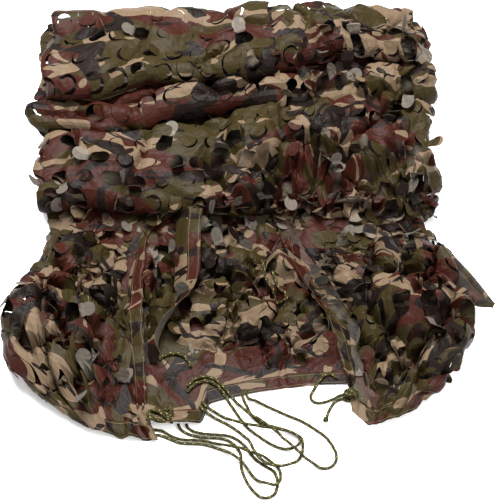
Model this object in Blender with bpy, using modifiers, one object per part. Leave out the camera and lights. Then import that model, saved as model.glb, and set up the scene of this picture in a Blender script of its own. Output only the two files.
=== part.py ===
"""Camouflage net, its long sides turned in and its length folded back and forth, with its draw-cords.

Frame: metres, +Z up, X across the net, the front hem toward -Y, the floor at Z = 0.
The net is one sheet with a flat C-shaped section: a base, and both sides turned in over it. The
section runs from the front hem along a back-and-forth path of seven passes. In front of the
stack of passes the first one shows as an apron, where the turned-in sides stand up in two lumps.
"""

import math

import bmesh
import bpy
import numpy as np
from mathutils import Vector

# The middle of the net's own box, which stands over the origin
NET_MIDDLE = Vector((-0.00677, -0.00379, 0.0))

# Sheet and stack
SHEET = 0.002
PITCH = 0.0072
FRONT_Y = -0.27
BACK_Y = 0.300
TOP_HEM_Y = 0.312
LAST_PASS = 6
SIDE_REACH = 0.006
TURN_STRETCH = 1.25

# The fold noses from the lowest up, at the left and at the right of the net, and how far the
# cloth above each one stands up
NOSES = dict(
    left_y=(-0.004, 0.100, 0.138),
    right_y=(0.006, 0.112, 0.186),
    puff=(0.014, 0.012, 0.012),
)
# Side edges and hems of each pass; the first pass has a table of its own
PASSES = dict(
    left_edge=(-0.280, -0.284, -0.292, -0.298, -0.304, -0.288, -0.288),
    right_edge=(0.235, 0.238, 0.246, 0.256, 0.252, 0.246, 0.236),
    left_hem=(0.042, 0.042, 0.046, 0.040, 0.050, 0.044, 0.036),
    right_hem=(0.012, 0.012, 0.016, 0.010, 0.018, 0.012, 0.008),
)
# The first pass from the front hem to the back: its side edges, its hems and the height of its
# turned-in sides
APRON = dict(
    y=(-0.27, -0.24, -0.19, -0.15, -0.11, -0.065, -0.035, -0.012, 0.04, 0.12, 0.30),
    left_edge=(-0.262, -0.291, -0.311, -0.315, -0.312, -0.293, -0.280, -0.276, -0.280, -0.283,
               -0.283),
    right_edge=(0.236, 0.256, 0.288, 0.312, 0.290, 0.262, 0.246, 0.236, 0.234, 0.235, 0.235),
    left_hem=(-0.124, -0.130, -0.136, -0.138, -0.140, -0.142, -0.141, -0.135, -0.050, 0.030,
              0.042),
    right_hem=(0.122, 0.118, 0.104, 0.088, 0.068, 0.046, 0.038, 0.032, 0.016, 0.012, 0.012),
    left_height=(0.010, 0.027, 0.056, 0.063, 0.060, 0.040, 0.014, 0.0078, 0.0072, 0.0072, 0.0072),
    right_height=(0.012, 0.034, 0.061, 0.067, 0.063, 0.042, 0.015, 0.0078, 0.0072, 0.0072, 0.0072),
)
# How far behind (+) or before (-) the front line the cloth starts, at places across the section
# (0 the middle of the base, -1 and 1 its edges, -2 and 2 the hems)
FRONT_LINE = dict(
    place=(-2.0, -1.7, -1.45, -1.2, -1.0, -0.62, -0.48, -0.34, -0.22, 0.0, 0.4, 1.0, 1.25, 1.5, 1.8, 2.0),
    offset=(-0.053, -0.050, -0.010, 0.036, 0.040, 0.024, 0.000, -0.034, -0.004, 0.004,
            0.021, 0.028, 0.006, -0.022, -0.034, -0.022),
)
LUMP_WAVE = 0.0055
LUMP_WAVELENGTH = 0.078

# Rows along the net (millimetres from the start of each pass, or fractions of a hidden one),
# and columns across half of it (millimetres of cloth), with each leaf's cell marked True
CUT = True
PLAIN = False
LEAF = 24
APRON_ROWS = ((17, PLAIN), (LEAF, CUT), (34, PLAIN), (LEAF, CUT), (34, PLAIN), (LEAF, CUT), (34, PLAIN),
              (LEAF, CUT), (34, PLAIN), (32, PLAIN), (90, PLAIN), (100, PLAIN), (101, PLAIN))
BAND_ROWS = (
    ((9, PLAIN), (LEAF, CUT), (28, PLAIN), (LEAF, CUT), (14, PLAIN), (100, PLAIN), (101, PLAIN)),
    ((8, PLAIN), (LEAF, CUT), (24, PLAIN), (66, PLAIN), (72, PLAIN)),
    ((10, PLAIN), (LEAF, CUT), (36, PLAIN), (LEAF, CUT), (36, PLAIN), (14, PLAIN)),
)
HIDDEN_ROWS = (0.36, 0.36, 0.28)
BASE_COLUMNS = ((-280, PLAIN), (-206, PLAIN), (-132, PLAIN), (-116, CUT), (-92, PLAIN), (-58, CUT),
                (-34, PLAIN), (0, CUT), (24, PLAIN), (58, CUT), (82, PLAIN), (116, PLAIN), (198, PLAIN),
                (280, PLAIN))
SIDE_COLUMNS = ((7, PLAIN), (7, PLAIN), (8, PLAIN), (26, PLAIN), (LEAF, CUT), (36, PLAIN), (LEAF, CUT),
                (36, PLAIN), (LEAF, CUT), (36, PLAIN), (LEAF, CUT), (24, PLAIN), (16, PLAIN))
FRONT_TURN_STEPS = 4
BACK_TURN_STEPS = 3

# Leaves: how far they stand out of the sheet, and the shape of their free end
LEAF_LIFT = math.radians(27)
LEAF_SHOULDER = 0.72
LEAF_INSET = 0.14
LEAF_CLEARANCE = 0.010
SIDE_LEAF_FLOOR = 0.020
CORDS_REACH_Y = -0.200

# Cords
CORD_RADIUS = 0.0015
CORD_STEP = 0.0085
CORD_GAP = 0.0004
EDGE_MARGIN = 0.002
HUMP_FLAT = 0.005
HUMP_REACH = 0.024
KNOT_RADIUS = 0.0032

# Where each cord runs, in millimetres, from the lowest cord to the highest
CORD_ROUTES = dict(
    cord_lower_loop=(
        (-81, -304), (-79, -309), (-74, -313), (-66, -316), (-54, -318), (-39, -319), (-27, -321),
        (-15, -328), (-5, -339), (3, -351), (16, -361), (26, -368), (30, -378), (30, -388), (26, -398),
        (18, -402), (10, -401), (3, -395), (-5, -384), (-10, -373), (-13, -363), (-14, -345),
        (-20, -334), (-29, -327), (-39, -324), (-54, -323), (-68, -321), (-80, -317), (-88, -311),
        (-91, -304),
    ),
    cord_left_loop=(
        (-122, -312), (-110, -314), (-100, -320), (-87, -325), (-74, -326), (-60, -327), (-48, -330),
        (-35, -334), (-23, -337), (-13, -339), (-3, -344), (10, -348), (22, -355), (31, -364),
        (34, -373), (33, -382), (28, -387), (18, -385), (8, -381), (0, -374), (-7, -364), (-12, -357),
        (-20, -350), (-32, -342), (-46, -336), (-60, -332), (-74, -331), (-88, -330), (-100, -325),
        (-112, -320), (-122, -319),
    ),
    cord_hem_loop=(
        (-11, -270), (-7, -279), (-1, -291), (9, -302), (27, -308), (43, -313), (53, -318), (60, -323),
        (62, -331), (61, -342), (56, -353), (48, -360), (39, -364), (29, -364), (18, -361), (10, -355),
        (3, -345), (-5, -328), (-13, -318), (-24, -309), (-37, -301), (-48, -295), (-58, -288),
        (-65, -281),
    ),
    cord_arch_loop=(
        (-81, -260), (-69, -248), (-58, -245), (-47, -249), (-37, -260), (-30, -273), (-21, -287),
        (-13, -299), (-5, -310), (7, -320), (19, -329), (32, -336), (43, -339), (51, -338), (57, -333),
        (58, -326), (54, -321), (47, -317), (33, -313), (21, -311), (10, -309), (-3, -307), (-15, -304),
        (-28, -299), (-40, -292), (-54, -283), (-63, -275),
    ),
    cord_outer_loop=(
        (-5, -269), (5, -273), (23, -282), (43, -292), (62, -301), (78, -312), (90, -322), (98, -334),
        (102, -345), (101, -355), (95, -362), (85, -364), (73, -358), (60, -349), (50, -339),
        (38, -327), (28, -317), (18, -309), (8, -301), (-4, -292), (-14, -282), (-22, -272),
        (-29, -262), (-38, -251), (-48, -242), (-59, -239), (-71, -242), (-81, -253),
    ),
    cord_top_arch=(
        (-118, -214), (-109, -207), (-99, -205), (-88, -208), (-81, -216), (-77, -225),
    ),
    cord_corner_tie=(
        (107, -241), (102, -237), (96, -235), (90, -238), (84, -246), (77, -258), (73, -267),
        (76, -273), (83, -275), (93, -273), (102, -269), (111, -264), (119, -262),
    ),
    cord_corner_tail=(
        (119, -269), (110, -270), (103, -274), (98, -281), (94, -289), (92, -296),
    ),
)

GREEN = (0.095, 0.090, 0.030)
CORD_GREEN = (0.075, 0.075, 0.018)


def eased(t):
    t = np.clip(t, 0.0, 1.0)
    return t * t * (3.0 - 2.0 * t)


def through(stations, values, at):
    """A smooth curve through (station, value) pairs, read at the given places."""
    stations = np.asarray(stations, float)
    values = np.asarray(values, float)
    slopes = np.gradient(values, stations)
    at = np.clip(at, stations[0], stations[-1])
    i = np.clip(np.searchsorted(stations, at, side="right") - 1, 0, len(stations) - 2)
    width = stations[i + 1] - stations[i]
    t = (at - stations[i]) / width
    return (
        (2 * t**3 - 3 * t**2 + 1) * values[i]
        + (t**3 - 2 * t**2 + t) * width * slopes[i]
        + (3 * t**2 - 2 * t**3) * values[i + 1]
        + (t**3 - t**2) * width * slopes[i + 1]
    )


def nose_y(number, x):
    """Where a fold nose reaches toward the front, at a place across the net."""
    across = eased((x + 0.28) / 0.52)
    line = NOSES["left_y"][number] * (1 - across) + NOSES["right_y"][number] * across
    return line + 0.004 * np.sin(21 * x + 2 * number) + 0.0025 * np.sin(47 * x + number)


def pass_ends(number, x):
    """The Y at which a pass starts and the Y at which it ends, in the direction of travel."""
    turn_reach = 1.5 * PITCH * TURN_STRETCH
    if number == 0:
        return FRONT_Y, BACK_Y
    if number % 2 == 1:
        return BACK_Y, nose_y((number - 1) // 2, x) + turn_reach
    back = TOP_HEM_Y if number == LAST_PASS else BACK_Y
    return nose_y(number // 2 - 1, x) + turn_reach, back


def side_section(side, number, y):
    """One turned-in side at a row: (distance along the cloth, x, height) from the base's edge to the hem."""
    name = "left" if side < 0 else "right"
    if number == 0:
        edge = through(APRON["y"], APRON[name + "_edge"], y)
        hem = through(APRON["y"], APRON[name + "_hem"], y)
        height = through(APRON["y"], APRON[name + "_height"], y)
    else:
        edge, hem, height = PASSES[name + "_edge"][number], PASSES[name + "_hem"][number], PITCH
    reach = max(SIDE_REACH, 0.45 * height)
    start = edge - side * reach
    angle = np.linspace(0, math.pi, 17)
    along = np.linspace(0, 1, 25)[1:]
    x = np.concatenate([start + side * reach * np.sin(angle), start + along * (hem - start)])
    fall = 1 - eased((along - 0.08) / 0.86)
    crest = (height - PITCH) / 0.06 * LUMP_WAVE * np.sin(math.pi * along)
    wave = crest * np.sin(2 * math.pi * y / LUMP_WAVELENGTH + side * 1.3 + 2.5 * along)
    height_in = PITCH + (height - PITCH) * fall + wave
    inner_x = x[len(angle):]
    if side < 0:
        height_in = height_in + 0.25 * PITCH * eased((inner_x + 0.06) / 0.05)
    else:
        height_in = height_in - 0.30 * PITCH * eased((0.10 - inner_x) / 0.04)
    h = np.concatenate([height * (1 - np.cos(angle)) / 2, height_in])
    distance = np.concatenate([[0], np.cumsum(np.hypot(np.diff(x), np.diff(h)))])
    return distance, x, h


def across_section(number, y_left, y_right, places):
    """(x, height over the base) at places from -2 (left hem) through 0 to 2 (right hem)."""
    left = side_section(-1, number, y_left)
    right = side_section(1, number, y_right)
    x = np.where(places < 0, -places * left[1][0], places * right[1][0])
    h = np.zeros_like(places)
    for side, (distance, xs, hs) in ((-1, left), (1, right)):
        turned_in = side * places > 1
        at = (side * places[turned_in] - 1) * distance[-1]
        x[turned_in] = np.interp(at, distance, xs)
        h[turned_in] = np.interp(at, distance, hs)
    return x, h


def puffed(number, x, y):
    """How far the upper side of a fold stands up where nothing lies on it."""
    if number < 2 or number % 2 == 1:
        return np.zeros_like(x)
    fold = number // 2 - 1
    near = nose_y(fold, x)
    far = BACK_Y + 0.02 if number == LAST_PASS else nose_y(fold + 1, x)
    t = np.clip((y - near) / (far - near), 0, 1)
    hump = 0.85 * np.sin(math.pi * t**0.8) + 0.45 * (1 - t) ** 3
    if fold == 0:
        hump = hump * (1 - 0.55 * eased((x + 0.02) / 0.1) * np.sin(math.pi * t) ** 4)
    return NOSES["puff"][fold] * hump * (1 + 0.35 * np.sin(19 * x + 3 * fold))


def unevenness(x, y, z):
    """A gentle, order-keeping lean and swell of the whole stack; the floor stays flat."""
    in_stack = eased((y + 0.01) / 0.06)
    swell = 1.03 + 0.07 * np.sin(8 * x + 1.5) + 0.05 * np.sin(13 * y - 6 * x)
    up = z - SHEET / 2
    x = x + in_stack * (x / 0.28) * 0.005 * np.sin(50 * y + 95 * z)
    y = y + in_stack * eased(up / 0.02) * 0.003 * np.sin(24 * x + 60 * z)
    return x, y, SHEET / 2 + up * (1 + in_stack * (swell - 1))


def row_points(number, travel, turn, places):
    """The points of one row: on a pass at a fraction of its travel, or on the turn after it at an angle."""
    sides = [pass_ends(number, np.array([side * 0.2])) for side in (-1, 1)]
    y_left, y_right = (float(np.squeeze(ends[0] + travel * (ends[1] - ends[0]))) for ends in sides)
    x, h = across_section(number, y_left, y_right, places)
    if turn:
        x_next, _ = across_section(number + 1, y_left, y_right, places)
        x = x + (x_next - x) * turn / math.pi
    start, end = pass_ends(number, x)
    y = start + travel * (end - start)
    if number == 0:
        y, h = apron_front(places, y, h)
    layer = 2 * number * PITCH + (h if number % 2 == 0 else PITCH - h)
    if turn:
        middle = (2 * number + 1.5) * PITCH
        radius = middle - layer
        y = y + (1 if number % 2 == 0 else -1) * TURN_STRETCH * radius * math.sin(turn)
        rise = puffed(number + 1, x, y) * (1 - math.cos(turn)) / 2
        z = SHEET / 2 + middle - radius * math.cos(turn) + rise
    else:
        z = SHEET / 2 + layer + puffed(number, x, y)
    return np.stack(unevenness(x, y, z), axis=-1)


def apron_front(places, y, h):
    """Shapes the front line, and lays the turned-in sides down on the floor where they pass the base."""
    offset = np.interp(places, FRONT_LINE["place"], FRONT_LINE["offset"])
    y = y + offset * (1 - eased((y - FRONT_Y) / 0.12))
    behind_hem = eased((y - FRONT_Y - offset) / 0.05)
    past_turn = eased((np.abs(places) - 1.45) / 0.3)
    return y, h * (1 - past_turn * (1 - behind_hem))


def net_rows():
    """(pass, travel, turn angle, whether the cell after it can hold leaves) for each row of the net."""
    rows = []
    for number in range(LAST_PASS + 1):
        if number == 0:
            steps = APRON_ROWS
        elif number % 2 == 0:
            steps = BAND_ROWS[number // 2 - 1]
        else:
            steps = tuple((length, PLAIN) for length in HIDDEN_ROWS)
        total = sum(length for length, _ in steps)
        done = 0
        for length, cut in steps:
            rows.append((number, done / total, 0.0, cut))
            done += length
        if number == LAST_PASS:
            rows.append((number, 1.0, 0.0, PLAIN))
            continue
        turn_steps = BACK_TURN_STEPS if number % 2 == 0 else FRONT_TURN_STEPS
        rows += [(number, 1.0, math.pi * step / turn_steps, PLAIN) for step in range(turn_steps)]
    return rows


def net_columns():
    """(place, whether the cell after it can hold leaves) for each column, from hem to hem."""
    total = sum(width for width, _ in SIDE_COLUMNS)
    side = []
    done = 0
    for width, cut in SIDE_COLUMNS:
        side.append((1 + done / total, 1 + (done + width) / total, cut))
        done += width
    left = [(-end, cut) for start, end, cut in reversed(side)]
    base_half = BASE_COLUMNS[-1][0]
    base = [(at / base_half, cut) for at, cut in BASE_COLUMNS[:-1]]
    right = [(start, cut) for start, end, cut in side]
    return left + base + right + [(2.0, PLAIN)]


def holds_leaf(number, place, near, far):
    """Leaves are cut where the cloth shows and nothing lies on it: near and far are a cell's corners."""
    if abs(place) < 1:
        left_hem = through(APRON["y"], APRON["left_hem"], near.y)
        right_hem = through(APRON["y"], APRON["right_hem"], near.y)
        bare = left_hem + LEAF_CLEARANCE < near.x and far.x < right_hem - LEAF_CLEARANCE
        return number == 0 and bare and CORDS_REACH_Y < near.y < -0.03
    if number == 0:
        return CORDS_REACH_Y < near.y < -0.02 or near.z > SIDE_LEAF_FLOOR
    if number == LAST_PASS:
        return place < 1.8
    return number % 2 == 0 and place < 1.8 and far.y < nose_y(number // 2, far.x) - LEAF_CLEARANCE / 2


def cut_leaf(bm, face, outward, hinge):
    """Frees one cell of the sheet on three sides and lifts it by the fourth, as a rounded leaf."""
    corners = [vert for vert in face.verts]
    corners = corners[hinge:] + corners[:hinge]
    a, b, c, d = (corner.co.copy() for corner in corners)
    normal = face.normal * outward
    bm.faces.remove(face)
    free_end = []
    for across, along in ((1 - LEAF_INSET, LEAF_SHOULDER), (0.5, 1.0), (LEAF_INSET, LEAF_SHOULDER)):
        root = a.lerp(b, across)
        reach = (d - a).lerp(c - b, across)
        lift = math.cos(LEAF_LIFT) * reach + math.sin(LEAF_LIFT) * reach.length * normal
        free_end.append(bm.verts.new(root + along * lift))
    bm.faces.new(corners[:2] + free_end)


def make_net(collection):
    """The whole net as one sheet: a grid laid along its folds, cut for leaves and given its thickness."""
    rows = net_rows()
    columns = net_columns()
    places = np.array([place for place, _ in columns])
    bm = bmesh.new()
    bmesh.ops.create_grid(bm, x_segments=len(columns) - 1, y_segments=len(rows) - 1, size=1.0)
    grid = np.array(sorted(bm.verts, key=lambda vert: (round(vert.co.y, 5), vert.co.x)), dtype=object)
    grid = grid.reshape(len(rows), len(columns))
    for row, (number, travel, turn, _) in zip(grid, rows):
        for vert, point in zip(row, row_points(number, travel, turn, places)):
            vert.co = point
    bm.normal_update()
    leaves = []
    for i, (number, travel, turn, row_cut) in enumerate(rows):
        for j, (place, column_cut) in enumerate(columns):
            if not (row_cut and column_cut):
                continue
            if not holds_leaf(number, place, grid[i, j].co, grid[i + 1, j + 1].co):
                continue
            cell = {grid[i, j], grid[i, j + 1], grid[i + 1, j], grid[i + 1, j + 1]}
            face = next(face for face in grid[i, j].link_faces if set(face.verts) == cell)
            leaves.append((face, 1 if abs(place) < 1 else -1, (3 * i + 2 * j) % 4))
    for leaf in leaves:
        cut_leaf(bm, *leaf)
    bmesh.ops.triangulate(bm, faces=list(bm.faces))
    mesh = bpy.data.meshes.new("net_cloth")
    bm.to_mesh(mesh)
    bm.free()
    net = bpy.data.objects.new("net_cloth", mesh)
    thickness = net.modifiers.new("Sheet", "SOLIDIFY")
    thickness.thickness = SHEET
    thickness.offset = 0.0
    net.data.materials.append(principled("Printed polyester", GREEN, 0.75))
    collection.objects.link(net)
    return net


def cloth_under(x, y):
    """The height of what a cord lies on: the base of the apron behind its front line, else the floor."""
    places = np.array([at for at, _ in BASE_COLUMNS]) / BASE_COLUMNS[-1][0]
    offsets = np.interp(places, FRONT_LINE["place"], FRONT_LINE["offset"])
    columns, _ = across_section(0, FRONT_Y, FRONT_Y, places)
    front = FRONT_Y + np.interp(x, columns, offsets)
    return np.where(y > front - EDGE_MARGIN, SHEET + CORD_GAP, 0.0)


def cord_points(route, laid):
    """Even points along a smooth curve through a route, lifted in long low humps over all that it crosses."""
    route = np.array(route) / 1000
    stations = np.concatenate([[0], np.cumsum(np.hypot(*np.diff(route, axis=0).T))])
    fine = np.linspace(0, stations[-1], 400)
    x = through(stations, route[:, 0], fine)
    y = through(stations, route[:, 1], fine)
    under = cloth_under(x, y)
    for other in laid:
        reach = np.hypot(x[:, None] - other[:, 0], y[:, None] - other[:, 1])
        meets = reach < 2 * CORD_RADIUS + CORD_GAP
        over = np.where(meets, other[:, 2] + CORD_RADIUS + CORD_GAP, 0)
        under = np.maximum(under, over.max(axis=1))
    apart = np.abs(fine[:, None] - fine[None, :])
    hump = np.cos(np.clip((apart - HUMP_FLAT) / HUMP_REACH, 0, 1) * math.pi / 2) ** 2
    crosses_itself = np.hypot(x[:, None] - x, y[:, None] - y) < 2 * CORD_RADIUS + CORD_GAP
    crosses_itself &= fine[:, None] - fine[None, :] > 4 * CORD_RADIUS
    for _ in range(2):
        z = CORD_RADIUS + (under[None, :] * hump).max(axis=1)
        over = np.where(crosses_itself, z[None, :] + CORD_RADIUS + CORD_GAP, 0)
        under = np.maximum(under, over.max(axis=1))
    count = round(stations[-1] / CORD_STEP)
    at = np.linspace(0, stations[-1], count)
    laid.append(np.stack([x, y, z], axis=1))
    return [Vector((np.interp(s, fine, x), np.interp(s, fine, y), np.interp(s, fine, z))) for s in at]


def make_cord(collection, name, points, material):
    curve = bpy.data.curves.new(name, "CURVE")
    curve.dimensions = "3D"
    curve.bevel_depth = CORD_RADIUS
    curve.bevel_resolution = 2
    curve.use_fill_caps = True
    spline = curve.splines.new("POLY")
    spline.points.add(len(points) - 1)
    for control, point in zip(spline.points, points):
        control.co = (*point, 1.0)
    cord = bpy.data.objects.new(name, curve)
    cord.data.materials.append(material)
    collection.objects.link(cord)


def make_cords(collection):
    """The draw-cords, laid one over another, and the knot that ends the short tail."""
    braid = principled("Braided cord", CORD_GREEN, 0.7)
    laid = []
    for name, route in CORD_ROUTES.items():
        points = cord_points(route, laid)
        make_cord(collection, name, points, braid)
    out = (points[-1] - points[-2]).normalized()
    center = points[-1] + out * (KNOT_RADIUS + CORD_GAP)
    bm = bmesh.new()
    bmesh.ops.create_uvsphere(bm, u_segments=10, v_segments=6, radius=KNOT_RADIUS)
    mesh = bpy.data.meshes.new("cord_tail_knot")
    bm.to_mesh(mesh)
    bm.free()
    knot = bpy.data.objects.new("cord_tail_knot", mesh)
    knot.location = (center.x, center.y, KNOT_RADIUS)
    knot.data.materials.append(braid)
    collection.objects.link(knot)


def principled(name, color, roughness):
    material = bpy.data.materials.new(name)
    material.use_nodes = True
    shader = material.node_tree.nodes["Principled BSDF"]
    shader.inputs["Base Color"].default_value = (*color, 1.0)
    shader.inputs["Roughness"].default_value = roughness
    shader.inputs["Metallic"].default_value = 0.0
    return material


def main():
    for obj in list(bpy.data.objects):
        bpy.data.objects.remove(obj, do_unlink=True)
    collection = bpy.data.collections.new("camouflage_net")
    bpy.context.scene.collection.children.link(collection)
    middle = bpy.data.objects.new("net_middle", None)
    middle.location = -NET_MIDDLE
    collection.objects.link(middle)
    make_net(collection)
    make_cords(collection)
    for obj in collection.objects:
        if obj is not middle:
            obj.parent = middle


main()
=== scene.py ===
import math

import bpy
import numpy as np
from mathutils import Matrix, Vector, geometry, noise


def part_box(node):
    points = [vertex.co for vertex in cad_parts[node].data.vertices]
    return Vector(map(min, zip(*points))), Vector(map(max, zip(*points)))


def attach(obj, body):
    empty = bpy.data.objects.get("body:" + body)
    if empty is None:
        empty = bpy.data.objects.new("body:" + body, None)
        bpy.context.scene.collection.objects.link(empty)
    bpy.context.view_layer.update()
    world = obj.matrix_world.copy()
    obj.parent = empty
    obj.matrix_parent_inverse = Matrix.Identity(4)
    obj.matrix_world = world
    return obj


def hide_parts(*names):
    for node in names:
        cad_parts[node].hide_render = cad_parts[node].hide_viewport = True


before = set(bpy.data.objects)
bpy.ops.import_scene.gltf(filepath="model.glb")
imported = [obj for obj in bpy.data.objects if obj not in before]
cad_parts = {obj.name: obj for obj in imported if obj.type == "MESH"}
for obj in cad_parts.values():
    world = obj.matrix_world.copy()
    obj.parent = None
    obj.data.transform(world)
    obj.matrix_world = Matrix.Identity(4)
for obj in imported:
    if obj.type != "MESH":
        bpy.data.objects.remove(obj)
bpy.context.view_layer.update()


# ---------------------------------------------------------------------------------------------
# Studio: a floor of white seamless paper, lit so brightly that hardly any shade shows on it. One soft
# lamp hangs over the back of the net, and a broader, weaker one stands at the front right.

PAPER_WHITE = "#FBFBFA"
PAPER_GLOW = 0.28
PAPER_GRAIN = dict(Scale=900.0, Detail=2.0)
FLOOR_HALF = 6.0
FLOOR_DROP = 0.0002
ROOM_LIGHT = 0.42


def linear(code):
    """sRGB hex to linear RGBA."""
    values = [int(code[i:i + 2], 16) / 255 for i in (1, 3, 5)]
    return [v / 12.92 if v <= 0.04045 else ((v + 0.055) / 1.055) ** 2.4 for v in values] + [1.0]


def new_material(name):
    material = bpy.data.materials.new(name)
    material.use_nodes = True
    material.node_tree.nodes.clear()
    return material


def add(material, kind, inputs=None, **settings):
    """Adds a node. Settings are its properties or sockets; inputs are sockets with a value or a source."""
    node = material.node_tree.nodes.new("ShaderNode" + kind)
    for name, value in settings.items():
        if hasattr(node, name):
            setattr(node, name, value)
        else:
            node.inputs[name.replace("_", " ")].default_value = value
    for name, source in (inputs or {}).items():
        if isinstance(source, bpy.types.NodeSocket):
            material.node_tree.links.new(source, node.inputs[name])
        else:
            node.inputs[name].default_value = source
    return node


def seamless_paper():
    """Matt uncoated paper: no gloss, a faint grain, and a little light of its own that drowns the shade."""
    material = new_material("seamless_paper")
    at = add(material, "TexCoord").outputs["Object"]
    grain = add(material, "TexNoise", {"Vector": at}, **PAPER_GRAIN)
    bump = add(material, "Bump", {"Height": grain.outputs["Fac"]}, Strength=0.04, Distance=0.0003)
    paper = add(material, "BsdfPrincipled", {"Normal": bump.outputs["Normal"]}, Roughness=0.9,
                Base_Color=linear(PAPER_WHITE), Emission_Color=linear("#FFFFFF"),
                Emission_Strength=PAPER_GLOW)
    add(material, "OutputMaterial", {"Surface": paper.outputs["BSDF"]})
    return material


def studio_floor():
    mesh = bpy.data.meshes.new("studio_floor")
    corners = [(x * FLOOR_HALF, y * FLOOR_HALF, 0) for x, y in ((-1, -1), (1, -1), (1, 1), (-1, 1))]
    mesh.from_pydata(corners, [], [(0, 1, 2, 3)])
    mesh.materials.append(seamless_paper())
    floor = bpy.data.objects.new("studio_floor", mesh)
    floor.location.z = -FLOOR_DROP
    bpy.context.collection.objects.link(floor)


def soft_lamp(name, place, size, watts):
    """A square of cloth-covered light that points at the middle of the floor."""
    lamp = bpy.data.lights.new(name, "AREA")
    lamp.shape = "RECTANGLE"
    lamp.size, lamp.size_y = size
    lamp.energy = watts
    obj = bpy.data.objects.new(name, lamp)
    obj.location = place
    obj.rotation_euler = (-Vector(place)).to_track_quat("-Z", "Y").to_euler()
    bpy.context.collection.objects.link(obj)


studio_floor()
soft_lamp("soft_overhead", (-0.25, 0.50, 2.0), (1.2, 1.2), 150)
soft_lamp("soft_front", (1.3, -1.0, 1.7), (1.6, 1.2), 36)

bpy.context.scene.view_settings.view_transform = "Standard"
room = bpy.data.worlds.new("studio_room")
room.use_nodes = True
room.node_tree.nodes["Background"].inputs["Color"].default_value = linear("#FFFFFF")
room.node_tree.nodes["Background"].inputs["Strength"].default_value = ROOM_LIGHT
bpy.context.scene.world = room


# ---------------------------------------------------------------------------------------------
# Camera: stands in front of the net's open hem and looks down on it at 55 degrees.

CAMERA_TARGET = Vector((0.0043, -0.0727, 0.05))
CAMERA_ELEVATION = math.radians(55)
CAMERA_DISTANCE = 1.7
VIEW_WIDTH = 0.65


def studio_camera():
    camera = bpy.data.cameras.new("camera")
    camera.sensor_fit = "HORIZONTAL"
    camera.angle = 2 * math.atan(VIEW_WIDTH / 2 / CAMERA_DISTANCE)
    obj = bpy.data.objects.new("camera", camera)
    back = Vector((0, -math.cos(CAMERA_ELEVATION), math.sin(CAMERA_ELEVATION)))
    obj.location = CAMERA_TARGET + CAMERA_DISTANCE * back
    obj.rotation_euler = (-back).to_track_quat("-Z", "Y").to_euler()
    bpy.context.collection.objects.link(obj)
    bpy.context.scene.camera = obj


studio_camera()


# ---------------------------------------------------------------------------------------------
# The net: one sheet of printed polyester cloth, die-cut all over with slits that each free a round
# leaf. Its long sides are turned in over its middle, and its length is folded back and forth in
# seven passes. The turned-in sides stand up in two lumps in front of the stack of passes.

LAYER_PITCH = 0.0072
FLOOR_GAP = 0.001
FRONT_Y = -0.27
BACK_Y = 0.300
TOP_HEM_Y = 0.312
LAST_PASS = 6
TURN_STRETCH = 1.25
HALF_BASE = 0.28
SIDE_REACH = 0.006
SIDE_REACH_SHARE = 0.45
LUMP_FULL = 0.06
LUMP_WAVE = 0.0055
LUMP_WAVELENGTH = 0.078
TO_FRAME = np.array((0.00677, 0.00379, 0.0))

# Where each fold's front lies at the left and right, how far it puffs up, how steep its foot at the
# next fold is, how much fuller it is there, and how much flatter at its left.
FOLDS = dict(left_y=(0.002, 0.122, 0.160), right_y=(0.010, 0.172, 0.222), puff=(0.015, 0.009, 0.012),
             foot=(0.08, 0.16, 0.16), fuller_behind=(0.6, 0.9, 0.0), flatter_left=(0.0, 0.35, 0.0))
STACK_LEFT = -0.28
STACK_WIDTH = 0.52

# The edges of the passes over the first one, and how far in the hems of their two sides lie.
PASSES = dict(
    left_edge=(-0.284, -0.292, -0.298, -0.304, -0.288, -0.288),
    right_edge=(0.238, 0.246, 0.256, 0.252, 0.246, 0.236),
    left_hem=(0.042, 0.046, 0.040, 0.050, 0.044, 0.036), right_hem=(0.012, 0.016, 0.010, 0.018, 0.012, 0.008),
)
# The first pass from its front to its back: its edges, its hems and the height of its two lumps.
APRON = dict(
    y=(-0.27, -0.24, -0.19, -0.15, -0.11, -0.065, -0.035, -0.012, 0.04, 0.12, 0.30),
    left_edge=(-0.252, -0.286, -0.304, -0.303, -0.292, -0.270, -0.270, -0.274, -0.280, -0.283, -0.283),
    right_edge=(0.216, 0.242, 0.270, 0.278, 0.268, 0.252, 0.242, 0.236, 0.234, 0.235, 0.235),
    left_hem=(-0.113, -0.126, -0.136, -0.138, -0.140, -0.142, -0.141, -0.135, -0.050, 0.030, 0.042),
    right_hem=(0.122, 0.118, 0.104, 0.088, 0.068, 0.046, 0.038, 0.032, 0.016, 0.012, 0.012),
    left_height=(0.010, 0.027, 0.056, 0.063, 0.060, 0.040, 0.014, 0.0078, 0.0072, 0.0072, 0.0072),
    right_height=(0.012, 0.034, 0.061, 0.067, 0.063, 0.042, 0.015, 0.0078, 0.0072, 0.0072, 0.0072),
)
# How far the front edge lies before or behind a straight line, at places from -2, the left side's
# hem, through the middle's edges at -1 and 1, to 2, the right side's hem.
FRONT_LINE = dict(
    place=(-2.0, -1.7, -1.45, -1.2, -1.0, -0.62, -0.42, -0.33, -0.25, -0.215,
           -0.13, 0.0, 0.21, 0.4, 1.0, 1.1, 1.25, 1.45, 1.8, 2.0),
    offset=(-0.058, -0.055, -0.046, -0.022, 0.008, -0.020, -0.040, -0.038, -0.034, -0.006,
            0.001, 0.009, 0.016, 0.021, 0.024, -0.002, -0.018, -0.030, -0.036, -0.014),
)


def eased(t):
    """From 0 to 1 with a soft start and end."""
    t = np.clip(t, 0.0, 1.0)
    return t * t * (3.0 - 2.0 * t)


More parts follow.
